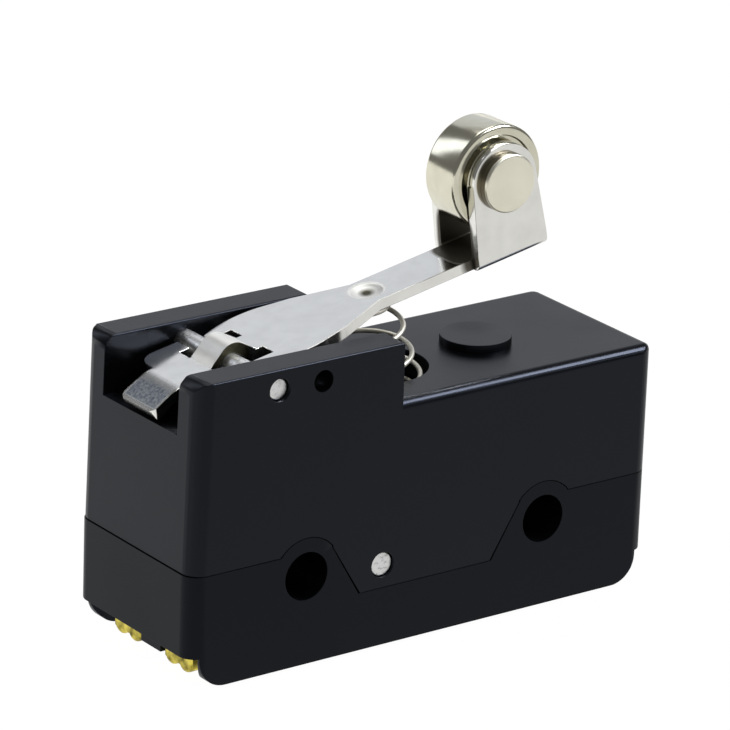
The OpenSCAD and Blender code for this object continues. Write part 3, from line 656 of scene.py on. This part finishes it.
def net(rows: int, cols: int, wrap_rows: bool) -> np.ndarray:
    """Quads of a grid of vertices that wraps round its columns.

    Args:
        rows: Rows of vertices.
        cols: Vertices in a row.
        wrap_rows: Whether the last row joins the first.

    Returns:
        Vertex numbers, a quad a row.
    """
    number = np.arange(rows * cols).reshape(rows, cols)
    low = number if wrap_rows else number[:-1]
    high = np.roll(number, -1, 0) if wrap_rows else number[1:]
    quads = np.stack([low, np.roll(low, -1, 1), np.roll(high, -1, 1), high], -1)
    return quads.reshape(-1, 4)


def put_in_scene(name: str, data: bpy.types.ID) -> bpy.types.Object:
    """Puts a mesh, a lamp or a camera into the scene, at the origin.

    Args:
        name: Name of the object.
        data: What it shows.

    Returns:
        The object.
    """
    made = bpy.data.objects.new(name, data)
    bpy.context.scene.collection.objects.link(made)
    return made


def smooth(mesh: bpy.types.Mesh) -> None:
    """Shades every face of a mesh smooth."""
    mesh.polygons.foreach_set("use_smooth", np.ones(len(mesh.polygons), bool))


def surface(name: str, grid: np.ndarray, wrap_rows: bool = False) -> bpy.types.Object:
    """Makes a smooth closed mesh from a grid of points in millimetres.

    Args:
        name: Name of the object and its mesh.
        grid: Points by row and column; columns wrap round, and each end row is closed by a fan to its middle
            unless the rows wrap too.
        wrap_rows: Whether the last row joins the first.

    Returns:
        The object, at the origin.
    """
    rows, cols = grid.shape[:2]
    points = grid.reshape(-1, 3)
    faces = net(rows, cols, wrap_rows).tolist()
    if not wrap_rows:
        points = np.vstack([points, grid[0].mean(0), grid[-1].mean(0)])
        ring = np.arange(cols)
        first = np.stack([np.full(cols, rows * cols), np.roll(ring, -1), ring], 1)
        last_ring = ring + (rows - 1) * cols
        last = np.stack([np.full(cols, rows * cols + 1), last_ring, np.roll(last_ring, -1)], 1)
        faces += first.tolist() + last.tolist()
    mesh = bpy.data.meshes.new(name)
    mesh.from_pydata((points * MM).tolist(), [], faces)
    smooth(mesh)
    mesh.update()
    return put_in_scene(name, mesh)


def lathe(
    name: str, half: list[Span], rounds: list[float], axis: Span, closed: bool, sides: int = 96
) -> bpy.types.Object:
    """Turns a profile round an axis along Y: at angle a, x + r sin a, y, z + r cos a.

    Args:
        name: Name of the piece.
        half: Radius and Y of the profile's corners at negative Y; the other half mirrors them.
        rounds: Radius of the round at each of these corners.
        axis: X and Z of the axis.
        closed: Whether the profile is a closed loop; an open one starts and ends next to the axis.
        sides: Points round the axis.

    Returns:
        The turned piece.
    """
    corners = [*half, *((r, -y) for r, y in reversed(half))]
    profile = fillet(corners, [*rounds, *reversed(rounds)], closed)
    angle = np.linspace(0.0, 2 * math.pi, sides, endpoint=False)
    radius, y = profile[:, 0][:, None], profile[:, 1][:, None]
    grid = np.stack([axis[0] + radius * np.sin(angle), y + 0.0 * angle, axis[1] + radius * np.cos(angle)], -1)
    return surface(name, grid, wrap_rows=closed)


def reshape(mesh: bpy.types.Mesh, move: Move) -> None:
    """Moves the points of a mesh.

    Args:
        mesh: Mesh of a piece at the origin.
        move: Gets all the points in millimetres, a row each, and gives their new places.
    """
    flat = np.empty(3 * len(mesh.vertices))
    mesh.vertices.foreach_get("co", flat)
    moved = move(flat.reshape(-1, 3) / MM) * MM
    mesh.vertices.foreach_set("co", moved.ravel())
    mesh.update()


def chord(r: float, depth: np.ndarray) -> np.ndarray:
    """Half the chord of a circle at a depth inside it: the root of r squared less (r - depth) squared."""
    return np.sqrt(np.maximum(r**2 - (r - depth) ** 2, 0.0))


@dataclass(frozen=True)
class Skin:
    """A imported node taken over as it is, with its vertices merged and its sharp edges rounded off.

    Before that, faces that reach beyond cut_from are cut across an axis, so that there are points to move,
    and rims that face up can rise. Short edges left of plain_x are too close together to be rounded.
    """

    node: str
    edge: float
    segments: int = 2
    sharp_from: float = 32.0
    crease_from: float = 40.0
    merge_below: float = 0.002
    flat_below: float = 0.5
    like_area: float = 0.2
    plain_x: float = -math.inf
    plain_short: float = 0.4
    cuts: Sequence[tuple[int, float]] = ()
    cut_from: float = 0.0
    move: Move | None = None
    rim_rise: float = 0.0
    rim_width: float = 1.2
    rim_tilt: float = 0.2
    hole: Span = (12.7, 8.18)
    hole_reach: float = 2.6

    def build(self, frame: dict) -> bpy.types.Object:
        """Makes the rounded copy.


        Returns:
            The copy, at the origin.
        """
        source = frame["nodes"][self.node]
        mesh = source.data.copy()
        mesh.name = f"{self.node}_skin"
        mesh.transform(source.matrix_world)
        work = self.shaped(mesh)
        bmesh.ops.bevel(
            work,
            geom=self.sharp(work),
            offset=self.edge * MM,
            offset_type="OFFSET",
            segments=self.segments,
            profile=0.5,
            affect="EDGES",
            clamp_overlap=False,
            loop_slide=True,
        )
        crease = math.radians(self.crease_from)
        for edge in work.edges:
            edge.smooth = edge.is_manifold and edge.calc_face_angle() < crease
        work.to_mesh(mesh)
        work.free()
        smooth(mesh)
        made = put_in_scene(f"{self.node}_skin", mesh)
        weighted = made.modifiers.new("face_weight", "WEIGHTED_NORMAL")
        weighted.mode = "FACE_AREA"
        # The largest face at a corner decides, and like_area is in square millimetres
        weighted.weight = 100
        weighted.thresh = self.like_area * MM * MM
        weighted.keep_sharp = True
        return made

    def shaped(self, mesh: bpy.types.Mesh) -> bmesh.types.BMesh:
        """Merges the vertices and flat faces of a mesh, and moves its points.

        Args:
            mesh: Copy of the node's mesh, which is written over if points move.

        Returns:
            The mesh to work on, before its edges are rounded.
        """
        work = bmesh.new()
        work.from_mesh(mesh)
        bmesh.ops.remove_doubles(work, verts=work.verts, dist=self.merge_below * MM)
        flat = math.radians(self.flat_below)
        bmesh.ops.dissolve_limit(work, angle_limit=flat, verts=work.verts, edges=work.edges)
        for axis, middle in self.cuts:
            self.cut(work, axis, middle)
        if self.move:
            work.to_mesh(mesh)
            reshape(mesh, self.move)
            work.clear()
            work.from_mesh(mesh)
        if self.rim_rise:
            self.lift(work)
        return work

    def sharp(self, work: bmesh.types.BMesh) -> list[bmesh.types.BMEdge]:
        """Outer edges to round.

        Args:
            work: Mesh of the node.

        Returns:
            Edges whose faces meet at more than sharp_from, apart from those without room.
        """
        limit = math.radians(self.sharp_from)
        convex = [edge for edge in work.edges if edge.is_manifold and edge.is_convex]
        return [edge for edge in convex if edge.calc_face_angle() > limit and self.roomy(edge)]

    def roomy(self, edge: bmesh.types.BMEdge) -> bool:
        """Whether an edge is long enough to be rounded, or lies where every edge is."""
        return edge.calc_length() > self.plain_short * MM or edge.verts[0].co.x > self.plain_x * MM

    def cut(self, work: bmesh.types.BMesh, axis: int, middle: float) -> None:
        """Cuts the faces that reach beyond cut_from across an axis.

        Args:
            work: Mesh of the node.
            axis: 0 for X, 1 for Y.
            middle: Where the cut crosses the axis.
        """
        normal = Vector((0.0, 0.0, 0.0))
        normal[axis] = 1.0
        start = (self.cut_from + TOUCHING) * MM
        faces = [face for face in work.faces if max(vert.co.x for vert in face.verts) > start]
        edges = {edge for face in faces for edge in face.edges}
        bmesh.ops.bisect_plane(
            work,
            geom=[*{vert for edge in edges for vert in edge.verts}, *edges, *faces],
            dist=TOUCHING * MM,
            plane_co=normal * middle * MM,
            plane_no=normal,
        )

    def lift(self, work: bmesh.types.BMesh) -> None:
        """Raises the rims that face up along the node's outer faces, apart from the mounting holes.

        Args:
            work: Mesh of the node.
        """
        work.normal_update()
        raised = {vert for face in work.faces if face.normal.z > self.rim_tilt for vert in face.verts}
        ends = max(abs(vert.co.x) for vert in work.verts) - self.rim_width * MM
        sides = max(abs(vert.co.y) for vert in work.verts) - self.rim_width * MM
        outer = [vert for vert in raised if abs(vert.co.x) > ends or abs(vert.co.y) > sides]
        rims = [vert for vert in outer if self.off_hole(vert.co / MM)]
        bmesh.ops.translate(work, vec=(0.0, 0.0, self.rim_rise * MM), verts=rims)

    def off_hole(self, point: Vector) -> bool:
        """Whether a point is out of reach of both mounting holes."""
        return math.hypot(abs(point.x) - self.hole[0], point.z - self.hole[1]) > self.hole_reach


@dataclass
class Assembly:
    """Part of the switch that builds its pieces and dresses them."""

    frame: dict
    finishes: Finishes

    def dress(self, piece: bpy.types.Object, node: str, slot: Slot, ride: Ride) -> bpy.types.Object:
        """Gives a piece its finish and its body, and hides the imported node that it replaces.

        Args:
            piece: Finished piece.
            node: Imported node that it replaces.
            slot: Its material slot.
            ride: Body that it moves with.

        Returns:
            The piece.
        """
        piece.data.materials.clear()
        piece.data.materials.append(self.finishes.of(slot))
        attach(piece, ride.value)
        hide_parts(node)
        LOG.info("%s: %d faces", piece.name, len(piece.data.polygons))
        return piece

    def skin(self, copy: Skin, slot: Slot, ride: Ride) -> bpy.types.Object:
        """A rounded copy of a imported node, dressed."""
        return self.dress(copy.build(self.frame), copy.node, slot, ride)

    def build(self) -> None:
        """Builds and dresses every piece of the assembly."""
        raise NotImplementedError


@dataclass
class Body(Assembly):
    """Base and case mouldings with the two pins that go through them.

    At the left end of the hinge walls, wall_corner is the X of the middle of their corner's arc, of corner_r,
    and plan_x that of the case's corner in plan, of plan_r. The slacks say how far a point may be off.
    """

    half_length: float = 24.6
    half_width: float = 8.725
    top_z: float = 22.24
    top_round: float = 0.65
    cut_step: float = 0.2
    moulding_edge: float = 0.05
    rim_rise: float = 0.08
    wall_z: float = 27.5
    wall_end: float = -3.1
    wall_corner: float = -22.838
    corner_r: float = 1.3
    plan_x: float = -22.522
    plan_r: float = 1.6
    wall_round: float = 0.5
    wall_keep: float = 0.35
    round_slack: float = 0.01
    arc_slack: float = 0.02
    end_slack: float = 0.1
    trough_half: float = 5.6
    pin_axis: Span = HINGE
    pin_r: float = 1.0
    pin_inset: float = 0.4
    rivet_axis: Span = (-4.64, 7.5)
    rivet_r: float = 1.12
    rivet_inset: float = 0.22
    pin_rim: float = 0.16
    pin_sides: int = 64

    def build(self) -> None:
        """Builds the mouldings and the pins."""
        self.skin(Skin("base", self.moulding_edge, rim_rise=self.rim_rise), Slot.BASE, Ride.HOUSING)
        steps = np.arange(0.0, self.plan_r, self.cut_step)
        start = self.half_length - self.plan_r
        cuts = [(0, start + step) for step in steps]
        cuts += [(1, side * (self.half_width - self.plan_r + step)) for side in (-1, 1) for step in steps]
        case = Skin("case", self.moulding_edge, cuts=cuts, cut_from=start, move=self.moulded)
        self.skin(case, Slot.CASE, Ride.HOUSING)
        pin = self.pin("hinge_pin_turned", self.pin_axis, self.pin_r, self.pin_inset)
        self.dress(pin, "hinge_pin", Slot.PIN, Ride.HOUSING)
        rivet = self.pin("case_rivet_turned", self.rivet_axis, self.rivet_r, self.rivet_inset)
        self.dress(rivet, "case_rivet", Slot.PIN, Ride.HOUSING)

    def moulded(self, points: np.ndarray) -> np.ndarray:
        """Rolls the top edge round the two right corners, and narrows the rounds of the hinge walls.

        At a corner the top drops as on a quarter circle of top_round, by the depth inside the plan's arc.

        Args:
            points: Points of the case, a row each.

        Returns:
            Their new places.
        """
        made = self.crisp(points)
        x, y, z = made.T
        lengthwise = x - self.half_length + self.plan_r
        across = np.abs(y) - self.half_width + self.plan_r
        depth = np.clip(self.plan_r - np.hypot(lengthwise, across), 0.0, self.top_round)
        limit = self.top_z - self.top_round + chord(self.top_round, depth)
        corner = (lengthwise > 0.0) & (across > 0.0)
        made[:, 2] = np.where(corner, np.minimum(z, limit), z)
        return made

    def crisp(self, points: np.ndarray) -> np.ndarray:
        """Narrows the rounds on top of the hinge walls.

        On a round, the depths under the wall's top and behind its face shrink by one factor. At the left
        end X follows from them: it lies on the arc of the wall's corner, at a depth below its top, or on
        the arc of the case's plan, at a depth behind its face, whichever is further right. The faces along
        the trough have no arc of the plan.

        Args:
            points: Points of the case, a row each.

        Returns:
            Their new places.
        """
        x, y, z = points.T
        made = points.copy()
        drop = self.wall_z - z
        for side, inwards, plan_x in ((self.half_width, 1, self.plan_x), (self.trough_half, -1, -math.inf)):
            deep = inwards * (side - np.abs(y))
            centre = np.hypot(self.wall_round - deep, self.wall_round - drop)
            within = np.maximum(deep, drop) < self.wall_round + self.round_slack
            within &= np.minimum(deep, drop) > -self.round_slack
            on = within & (np.abs(centre - self.wall_round) < self.arc_slack)
            behind = self.wall_keep * deep[on]
            below = self.wall_keep * drop[on]
            by_plan = plan_x - chord(self.plan_r, behind)
            by_corner = self.wall_corner - chord(self.corner_r, below)
            left = np.maximum(by_plan, by_corner)
            right = self.wall_end + self.wall_keep * (x[on] - self.wall_end)
            made[on, 0] = np.where(x[on] < self.plan_x + self.end_slack, left, right)
            made[on, 1] = np.sign(y[on]) * (side - inwards * behind)
            made[on, 2] = self.wall_z - below
        return made

    def pin(self, name: str, axis: Span, r: float, inset: float) -> bpy.types.Object:
        """Pin of a radius r across the body, its flat ends inset behind the faces and its rims rounded."""
        end = self.half_width - inset
        return lathe(name, [(CORE, -end), (r, -end)], [0.0, self.pin_rim], axis, False, self.pin_sides)


@dataclass
class Lever(Assembly):
    """The folded lever and the rivet that carries its roller.

    The dimple is dimple_u along the sheet from the hinge, and dish is the share of its depth that stays.
    """

    sheet_edge: float = 0.06
    tip_x: float = -23.7
    hinge: Span = HINGE
    slope: float = SLOPE
    sheet: float = SHEET
    dimple_u: float = 15.45
    dimple_reach: float = 1.7
    dimple_depth: float = 0.9
    dish: float = 0.4
    axle_axis: Span = ROLLER
    ear_out: float = 3.22
    axle_r: float = 1.5
    head_r: float = 2.65
    head_t: float = 0.85
    head_rim: float = 0.24
    head_foot: float = 0.06
    head_neck: float = 0.04

    def build(self) -> None:
        """Builds the stamping and the headed axle."""
        stamping = Skin("lever", self.sheet_edge, plain_x=self.tip_x)
        reshape(self.skin(stamping, Slot.LEVER, Ride.LEVER).data, self.pressed)
        self.dress(self.axle(), "roller_axle", Slot.AXLE, Ride.LEVER)

    def pressed(self, points: np.ndarray) -> np.ndarray:
        """Makes the dimple's hollow a shallow dish: its depth under the sheet's top shrinks.

        Args:
            points: Points of the lever, a row each.

        Returns:
            Their new places.
        """
        slope = math.radians(self.slope)
        lengthwise = np.array([math.cos(slope), 0.0, math.sin(slope)])
        upright = np.array([-math.sin(slope), 0.0, math.cos(slope)])
        offset = points - (self.hinge[0], 0.0, self.hinge[1])
        depth = self.sheet / 2 - offset @ upright
        inside = np.hypot(offset @ lengthwise - self.dimple_u, offset[:, 1]) < self.dimple_reach
        hollow = inside & (depth > 0.0) & (depth < self.dimple_depth)
        return points + np.where(hollow, (1.0 - self.dish) * depth, 0.0)[:, None] * upright

    def axle(self) -> bpy.types.Object:
        """Rivet with a flat round head at each end, its rim rounded.

        Returns:
            The axle.
        """
        end = self.ear_out + self.head_t
        half = [(CORE, -end), (self.head_r, -end), (self.head_r, -self.ear_out), (self.axle_r, -self.ear_out)]
        rounds = [0.0, self.head_rim, self.head_foot, self.head_neck]
        return lathe("roller_axle_turned", half, rounds, self.axle_axis, False)


@dataclass
class Roller(Assembly):
    """The turned roller between the lever's ears."""

    axis: Span = ROLLER
    radius: float = 4.75
    half: float = 2.1
    rim: float = 0.95
    recess: float = 0.35
    hub: float = 2.5
    bore: float = 1.55
    bore_edge: float = 0.05
    hub_edge: float = 0.06
    step_edge: float = 0.1
    tread_edge: float = 0.34
    sides: int = 128

    def build(self) -> None:
        """Builds the roller."""
        low = self.half - self.recess
        inner = self.radius - self.rim
        half = [
            (self.bore, -self.half),
            (self.hub, -self.half),
            (self.hub, -low),
            (inner, -low),
            (inner, -self.half),
            (self.radius, -self.half),
        ]
        rounds = [self.bore_edge, self.hub_edge, *[self.step_edge] * 3, self.tread_edge]
        made = lathe("roller_turned", half, rounds, self.axis, True, self.sides)
        self.dress(made, "roller", Slot.ROLLER, Ride.ROLLER)


@dataclass
class ReturnSpring(Assembly):
    """The tapered coil under the lever.

    Its radius changes between taper_turns and its height between rise_turns, counted from the foot. Its ends
    are rounded over end_steps, down to a blunt tip.
    """

    wire: float = 0.225
    low_r: float = 4.4
    high_r: float = 1.85
    waist: float = 0.47
    turns: float = 5.0
    taper_turns: Point = (1.7, 3.8, 4.25)
    rise_turns: tuple[float, ...] = (0.5, 2.8, 3.8, 4.25)
    rise_shares: tuple[float, ...] = (0.0, 0.49, 0.77, 1.0)
    start: float = 36.0
    lean: float = -0.834
    floor_z: float = 18.6
    floor_gap: float = 0.05
    lever_gap: float = 0.1
    hinge: Span = HINGE
    slope: float = SLOPE
    sheet: float = SHEET
    kept: float = 0.535
    steps: int = 340
    sides: int = 14
    end_steps: float = 3.0
    blunt: float = 0.08

    def path(self, share: np.ndarray) -> np.ndarray:
        """Middle of the wire: a helix that tapers and leans to the dimple, its last turn along the lever.

        Args:
            share: Shares of the wire's length, from foot to top.

        Returns:
            Points, a row each.
        """
        turn = self.turns * share
        waist_r = self.high_r + self.waist * (self.low_r - self.high_r)
        radius = np.interp(turn, self.taper_turns, (self.low_r, waist_r, self.high_r))
        rise = np.interp(turn, self.rise_turns, self.rise_shares)
        angle = self.angle(share)
        slope = math.radians(self.slope)
        x = self.lean * rise + radius * np.cos(angle)
        under = self.hinge[1] + (x - self.hinge[0]) * math.tan(slope) - self.sheet / 2 / math.cos(slope)
        high = under - self.wire - self.lever_gap
        low = self.floor_z + self.wire + self.floor_gap
        return np.stack([x, radius * np.sin(angle), low + (high - low) * rise], 1)

    def angle(self, share: np.ndarray) -> np.ndarray:
        """Turn of the wire round the plunger at shares of its length, in radians."""
        return math.radians(self.start) + 2 * math.pi * self.turns * share

    def build(self) -> None:
        """Sweeps a circle along the path, square to it, between its outward and its sideways direction."""
        share = np.linspace(0.0, 1.0, self.steps)
        middle = self.path(share)
        ahead = np.gradient(middle, axis=0)
        ahead /= np.linalg.norm(ahead, axis=1, keepdims=True)
        angle = self.angle(share)
        out = np.stack([np.cos(angle), np.sin(angle), np.zeros(self.steps)], 1)
        out -= ahead * (out * ahead).sum(1, keepdims=True)
        out /= np.linalg.norm(out, axis=1, keepdims=True)
        side = np.cross(ahead, out)
        number = np.arange(self.steps)
        from_end = np.minimum(number, number[::-1]) / self.end_steps
        thick = self.wire * np.sqrt(1.0 - np.clip(1.0 - from_end - self.blunt, 0.0, 1.0) ** 2)
        around = np.linspace(0.0, 2 * math.pi, self.sides, endpoint=False)
        ring = out[:, None] * np.cos(around)[None, :, None] + side[:, None] * np.sin(around)[None, :, None]
        made = surface("return_spring_wire", middle[:, None] + thick[:, None, None] * ring)
        self.dress(made, "return_spring", Slot.SPRING, Ride.HOUSING)
        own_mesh(made)


@dataclass
class Mechanism(Assembly):
    """Plunger, snap blade and contacts inside the case."""

    plunger_edge: float = 0.1
    blade_edge: float = 0.04
    anchor_edge: float = 0.08
    contact_edge: float = 0.12

    def build(self) -> None:
        """Builds the pieces that the case hides."""
        self.skin(Skin("plunger", self.plunger_edge), Slot.PLUNGER, Ride.PLUNGER)
        self.skin(Skin("contact_blade", self.blade_edge, 1), Slot.BLADE, Ride.BLADE)
        self.skin(Skin("moving_contact", self.contact_edge), Slot.CONTACT, Ride.BLADE)
        self.skin(Skin("blade_anchor", self.anchor_edge), Slot.TERMINAL, Ride.HOUSING)
        self.skin(Skin("normally_closed_contact", self.contact_edge), Slot.CONTACT, Ride.HOUSING)
        self.skin(Skin("normally_open_contact", self.contact_edge), Slot.CONTACT, Ride.HOUSING)


@dataclass
class Terminals(Assembly):
    """Terminals, screws and saddle washers in the base's channel."""

    places: tuple[str, ...] = ("common", "normally_closed", "normally_open")
    terminal_edge: float = 0.28
    screw_edge: float = 0.18
    washer_edge: float = 0.12
    segments: int = 3

    def build(self) -> None:
        """Builds the three terminal sets."""
        for role in self.places:
            terminal = Skin(f"{role}_terminal", self.terminal_edge, self.segments)
            self.skin(terminal, Slot.TERMINAL, Ride.HOUSING)
            self.skin(Skin(f"{role}_screw", self.screw_edge, self.segments), Slot.SCREW, Ride.HOUSING)
            self.skin(Skin(f"{role}_washer", self.washer_edge), Slot.SCREW, Ride.HOUSING)


@dataclass(frozen=True)
class Softbox:
    """A flat lamp that faces the switch."""

    name: str
    towards: Point
    distance: float
    width: float
    height: float
    radiance: float
    colour: str = "#ffffff"
    in_gloss_only: bool = False
    target: Point = (0.0, 0.0, 20.0)

    def build(self) -> None:
        """Makes the lamp, whose brightness is set by the radiance of its face."""
        lamp = bpy.data.lights.new(self.name, "AREA")
        lamp.shape = "RECTANGLE"
        lamp.size = self.width * MM
        lamp.size_y = self.height * MM
        lamp.energy = LAMP_POWER * self.radiance * lamp.size * lamp.size_y
        lamp.color = linear(self.colour)[:3]
        made = put_in_scene(self.name, lamp)
        away = Vector(self.towards).normalized()
        made.location = (Vector(self.target) + away * self.distance) * MM
        made.rotation_euler = away.to_track_quat("Z", "Y").to_euler()
        made.visible_camera = False
        made.visible_diffuse = not self.in_gloss_only


@dataclass(frozen=True)
class Studio:
    """White table in a dim room, lit by softboxes.

    The camera sees the table's paint mixed with an even glow, by glow_share. Mirrors see it mixed with a glow
    that grows towards the back, by mirror_share.
    """

    white: str = "#ffffff"
    room: float = 0.16
    table: float = 0.9
    table_reach: float = 3000.0
    table_z: float = -0.3
    glow: float = 1.17
    glow_share: float = 0.84
    mirror_share: float = 0.7
    mirror_front: float = 1.0
    mirror_back: float = 1.32
    back: Point = (-0.6, 0.8, 0.0)
    fade: Span = (-50.0, 50.0)
    lamps: tuple[Softbox, ...] = (
        # Leaves the bright streak on the roller's barrel
        Softbox("softbox_back_left", (-0.40, 0.75, 0.50), 620.0, 150.0, 420.0, 1.35, "#eef3ff"),
        # Fills the coil, the dimple and the rims that face up and forwards
        Softbox("softbox_overhead", (0.22, 0.36, 0.907), 700.0, 380.0, 380.0, 2.0, "#ffffff", True),
        # White wall low behind, in the sides of the dimple and on top of the roller
        Softbox("card_back_low", (0.62, 0.77, 0.13), 900.0, 900.0, 150.0, 0.7),
        # Pale card that the lever's top and the case's top mirror
        Softbox("card_back_right", (0.45, 0.75, 0.46), 700.0, 460.0, 380.0, 0.48, "#eef3ff"),
        # Leaves the light line along the front top edges
        Softbox("softbox_front_right", (0.56, -0.447, 0.697), 700.0, 500.0, 180.0, 19.0, "#f0f4ff", True),
    )

    def build(self) -> None:
        """Makes the room, the table and the lamps."""
        self.world()
        self.floor()
        for lamp in self.lamps:
            lamp.build()
        bpy.context.scene.view_settings.view_transform = "Standard"

    def world(self) -> None:
        """Room that lights evenly and shows as white behind the table."""
        world = bpy.data.worlds.new("studio_room")
        world.use_nodes = True
        tree = world.node_tree
        tree.nodes.clear()
        seen = add_node(tree, "ShaderNodeLightPath").outputs["Is Camera Ray"]
        dim = add_node(tree, "ShaderNodeBackground", {"Color": linear(self.white), "Strength": self.room})
        bright = add_node(tree, "ShaderNodeBackground", {"Color": linear(self.white), "Strength": 1.0})
        mixed = self.mix(tree, seen, dim.outputs[0], bright.outputs[0])
        add_node(tree, "ShaderNodeOutputWorld", {"Surface": mixed})
        bpy.context.scene.world = world

    def mix(self, tree: Tree, share: float | Socket, one: Socket, other: Socket) -> Socket:
        """Shader between two, by a share."""
        return add_node(tree, "ShaderNodeMixShader", {0: share, 1: one, 2: other}).outputs[0]

    def floor(self) -> bpy.types.Object:
        """Table under the switch.

        Returns:
            The table.
        """
        corners = np.array([(-1, -1), (1, -1), (1, 1), (-1, 1)]) * self.table_reach
        points = np.column_stack([corners, np.full(4, self.table_z)]) * MM
        mesh = bpy.data.meshes.new("table")
        mesh.from_pydata(points.tolist(), [], [(0, 1, 2, 3)])
        mesh.materials.append(self.paint())
        return put_in_scene("table", mesh)

    def paint(self) -> bpy.types.Material:
        """Paint that is white to the camera with a soft shadow, brighter behind in mirrors, clear from below.

        Returns:
            The table's material.
        """
        material = bpy.data.materials.new("table_white")
        material.use_nodes = True
        tree = material.node_tree
        tree.nodes.clear()
        path = add_node(tree, "ShaderNodeLightPath").outputs
        shade = {"Color": (self.table, self.table, self.table, 1.0)}
        lit = add_node(tree, "ShaderNodeBsdfDiffuse", shade).outputs[0]
        even = {"Color": linear(self.white), "Strength": self.glow}
        seen = self.mix(tree, self.glow_share, lit, add_node(tree, "ShaderNodeEmission", even).outputs[0])
        behind = along(tree, add_node(tree, "ShaderNodeTexCoord").outputs["Object"], self.back)
        strength = spread(tree, behind, self.mirror_front, self.mirror_back, metres(self.fade))
        graded = {"Color": linear(self.white), "Strength": strength}
        mirror = add_node(tree, "ShaderNodeEmission", graded).outputs[0]
        mirrored = self.mix(tree, self.mirror_share, lit, mirror)
        unseen = self.mix(tree, path["Is Glossy Ray"], lit, mirrored)
        top = self.mix(tree, path["Is Camera Ray"], unseen, seen)
        clear = add_node(tree, "ShaderNodeBsdfTransparent").outputs[0]
        below = add_node(tree, "ShaderNodeNewGeometry").outputs["Backfacing"]
        add_node(tree, "ShaderNodeOutputMaterial", {"Surface": self.mix(tree, below, top, clear)})
        return material


@dataclass(frozen=True)
class PhotoCamera:
    """The photograph's viewpoint, found from the body's edges and its two mounting holes."""

    eye: Point = (-251.872, -336.925, 176.916)
    azimuth: float = -36.691
    elevation: float = 20.204
    roll: float = 2.086
    lens: float = 255.126
    sensor: float = 36.0
    clip: Span = (10.0, 20000.0)

    def build(self) -> None:
        """Makes the camera and sets it as the scene's."""
        data = bpy.data.cameras.new("photo_camera")
        data.sensor_width = self.sensor
        data.lens = self.lens
        data.clip_start, data.clip_end = metres(self.clip)
        made = put_in_scene("photo_camera", data)
        azimuth, elevation, roll = (math.radians(a) for a in (self.azimuth, self.elevation, self.roll))
        flat = math.cos(elevation)
        back = Vector((math.sin(azimuth) * flat, -math.cos(azimuth) * flat, math.sin(elevation)))
        level = Vector((math.cos(azimuth), math.sin(azimuth), 0.0))
        rise = back.cross(level)
        right = math.cos(roll) * level + math.sin(roll) * rise
        up = back.cross(right)
        turn = Matrix((right, up, back)).transposed().to_4x4()
        made.matrix_world = Matrix.Translation(Vector(self.eye) * MM) @ turn
        bpy.context.scene.camera = made


def clear_scene() -> None:
    """Takes the start-up objects out of the scene."""
    for thing in list(bpy.data.objects):
        bpy.data.objects.remove(thing, do_unlink=True)


def main() -> None:
    """Loads the frame, builds every assembly, the studio and the camera."""
    logging.basicConfig(level=logging.INFO, format="%(name)s: %(message)s")
    clear_scene()
    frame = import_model()
    finishes = Finishes()
    for kind in (Body, Lever, Roller, ReturnSpring, Mechanism, Terminals):
        kind(frame, finishes).build()
    Studio().build()
    PhotoCamera().build()


if __name__ == "__main__":
    main()
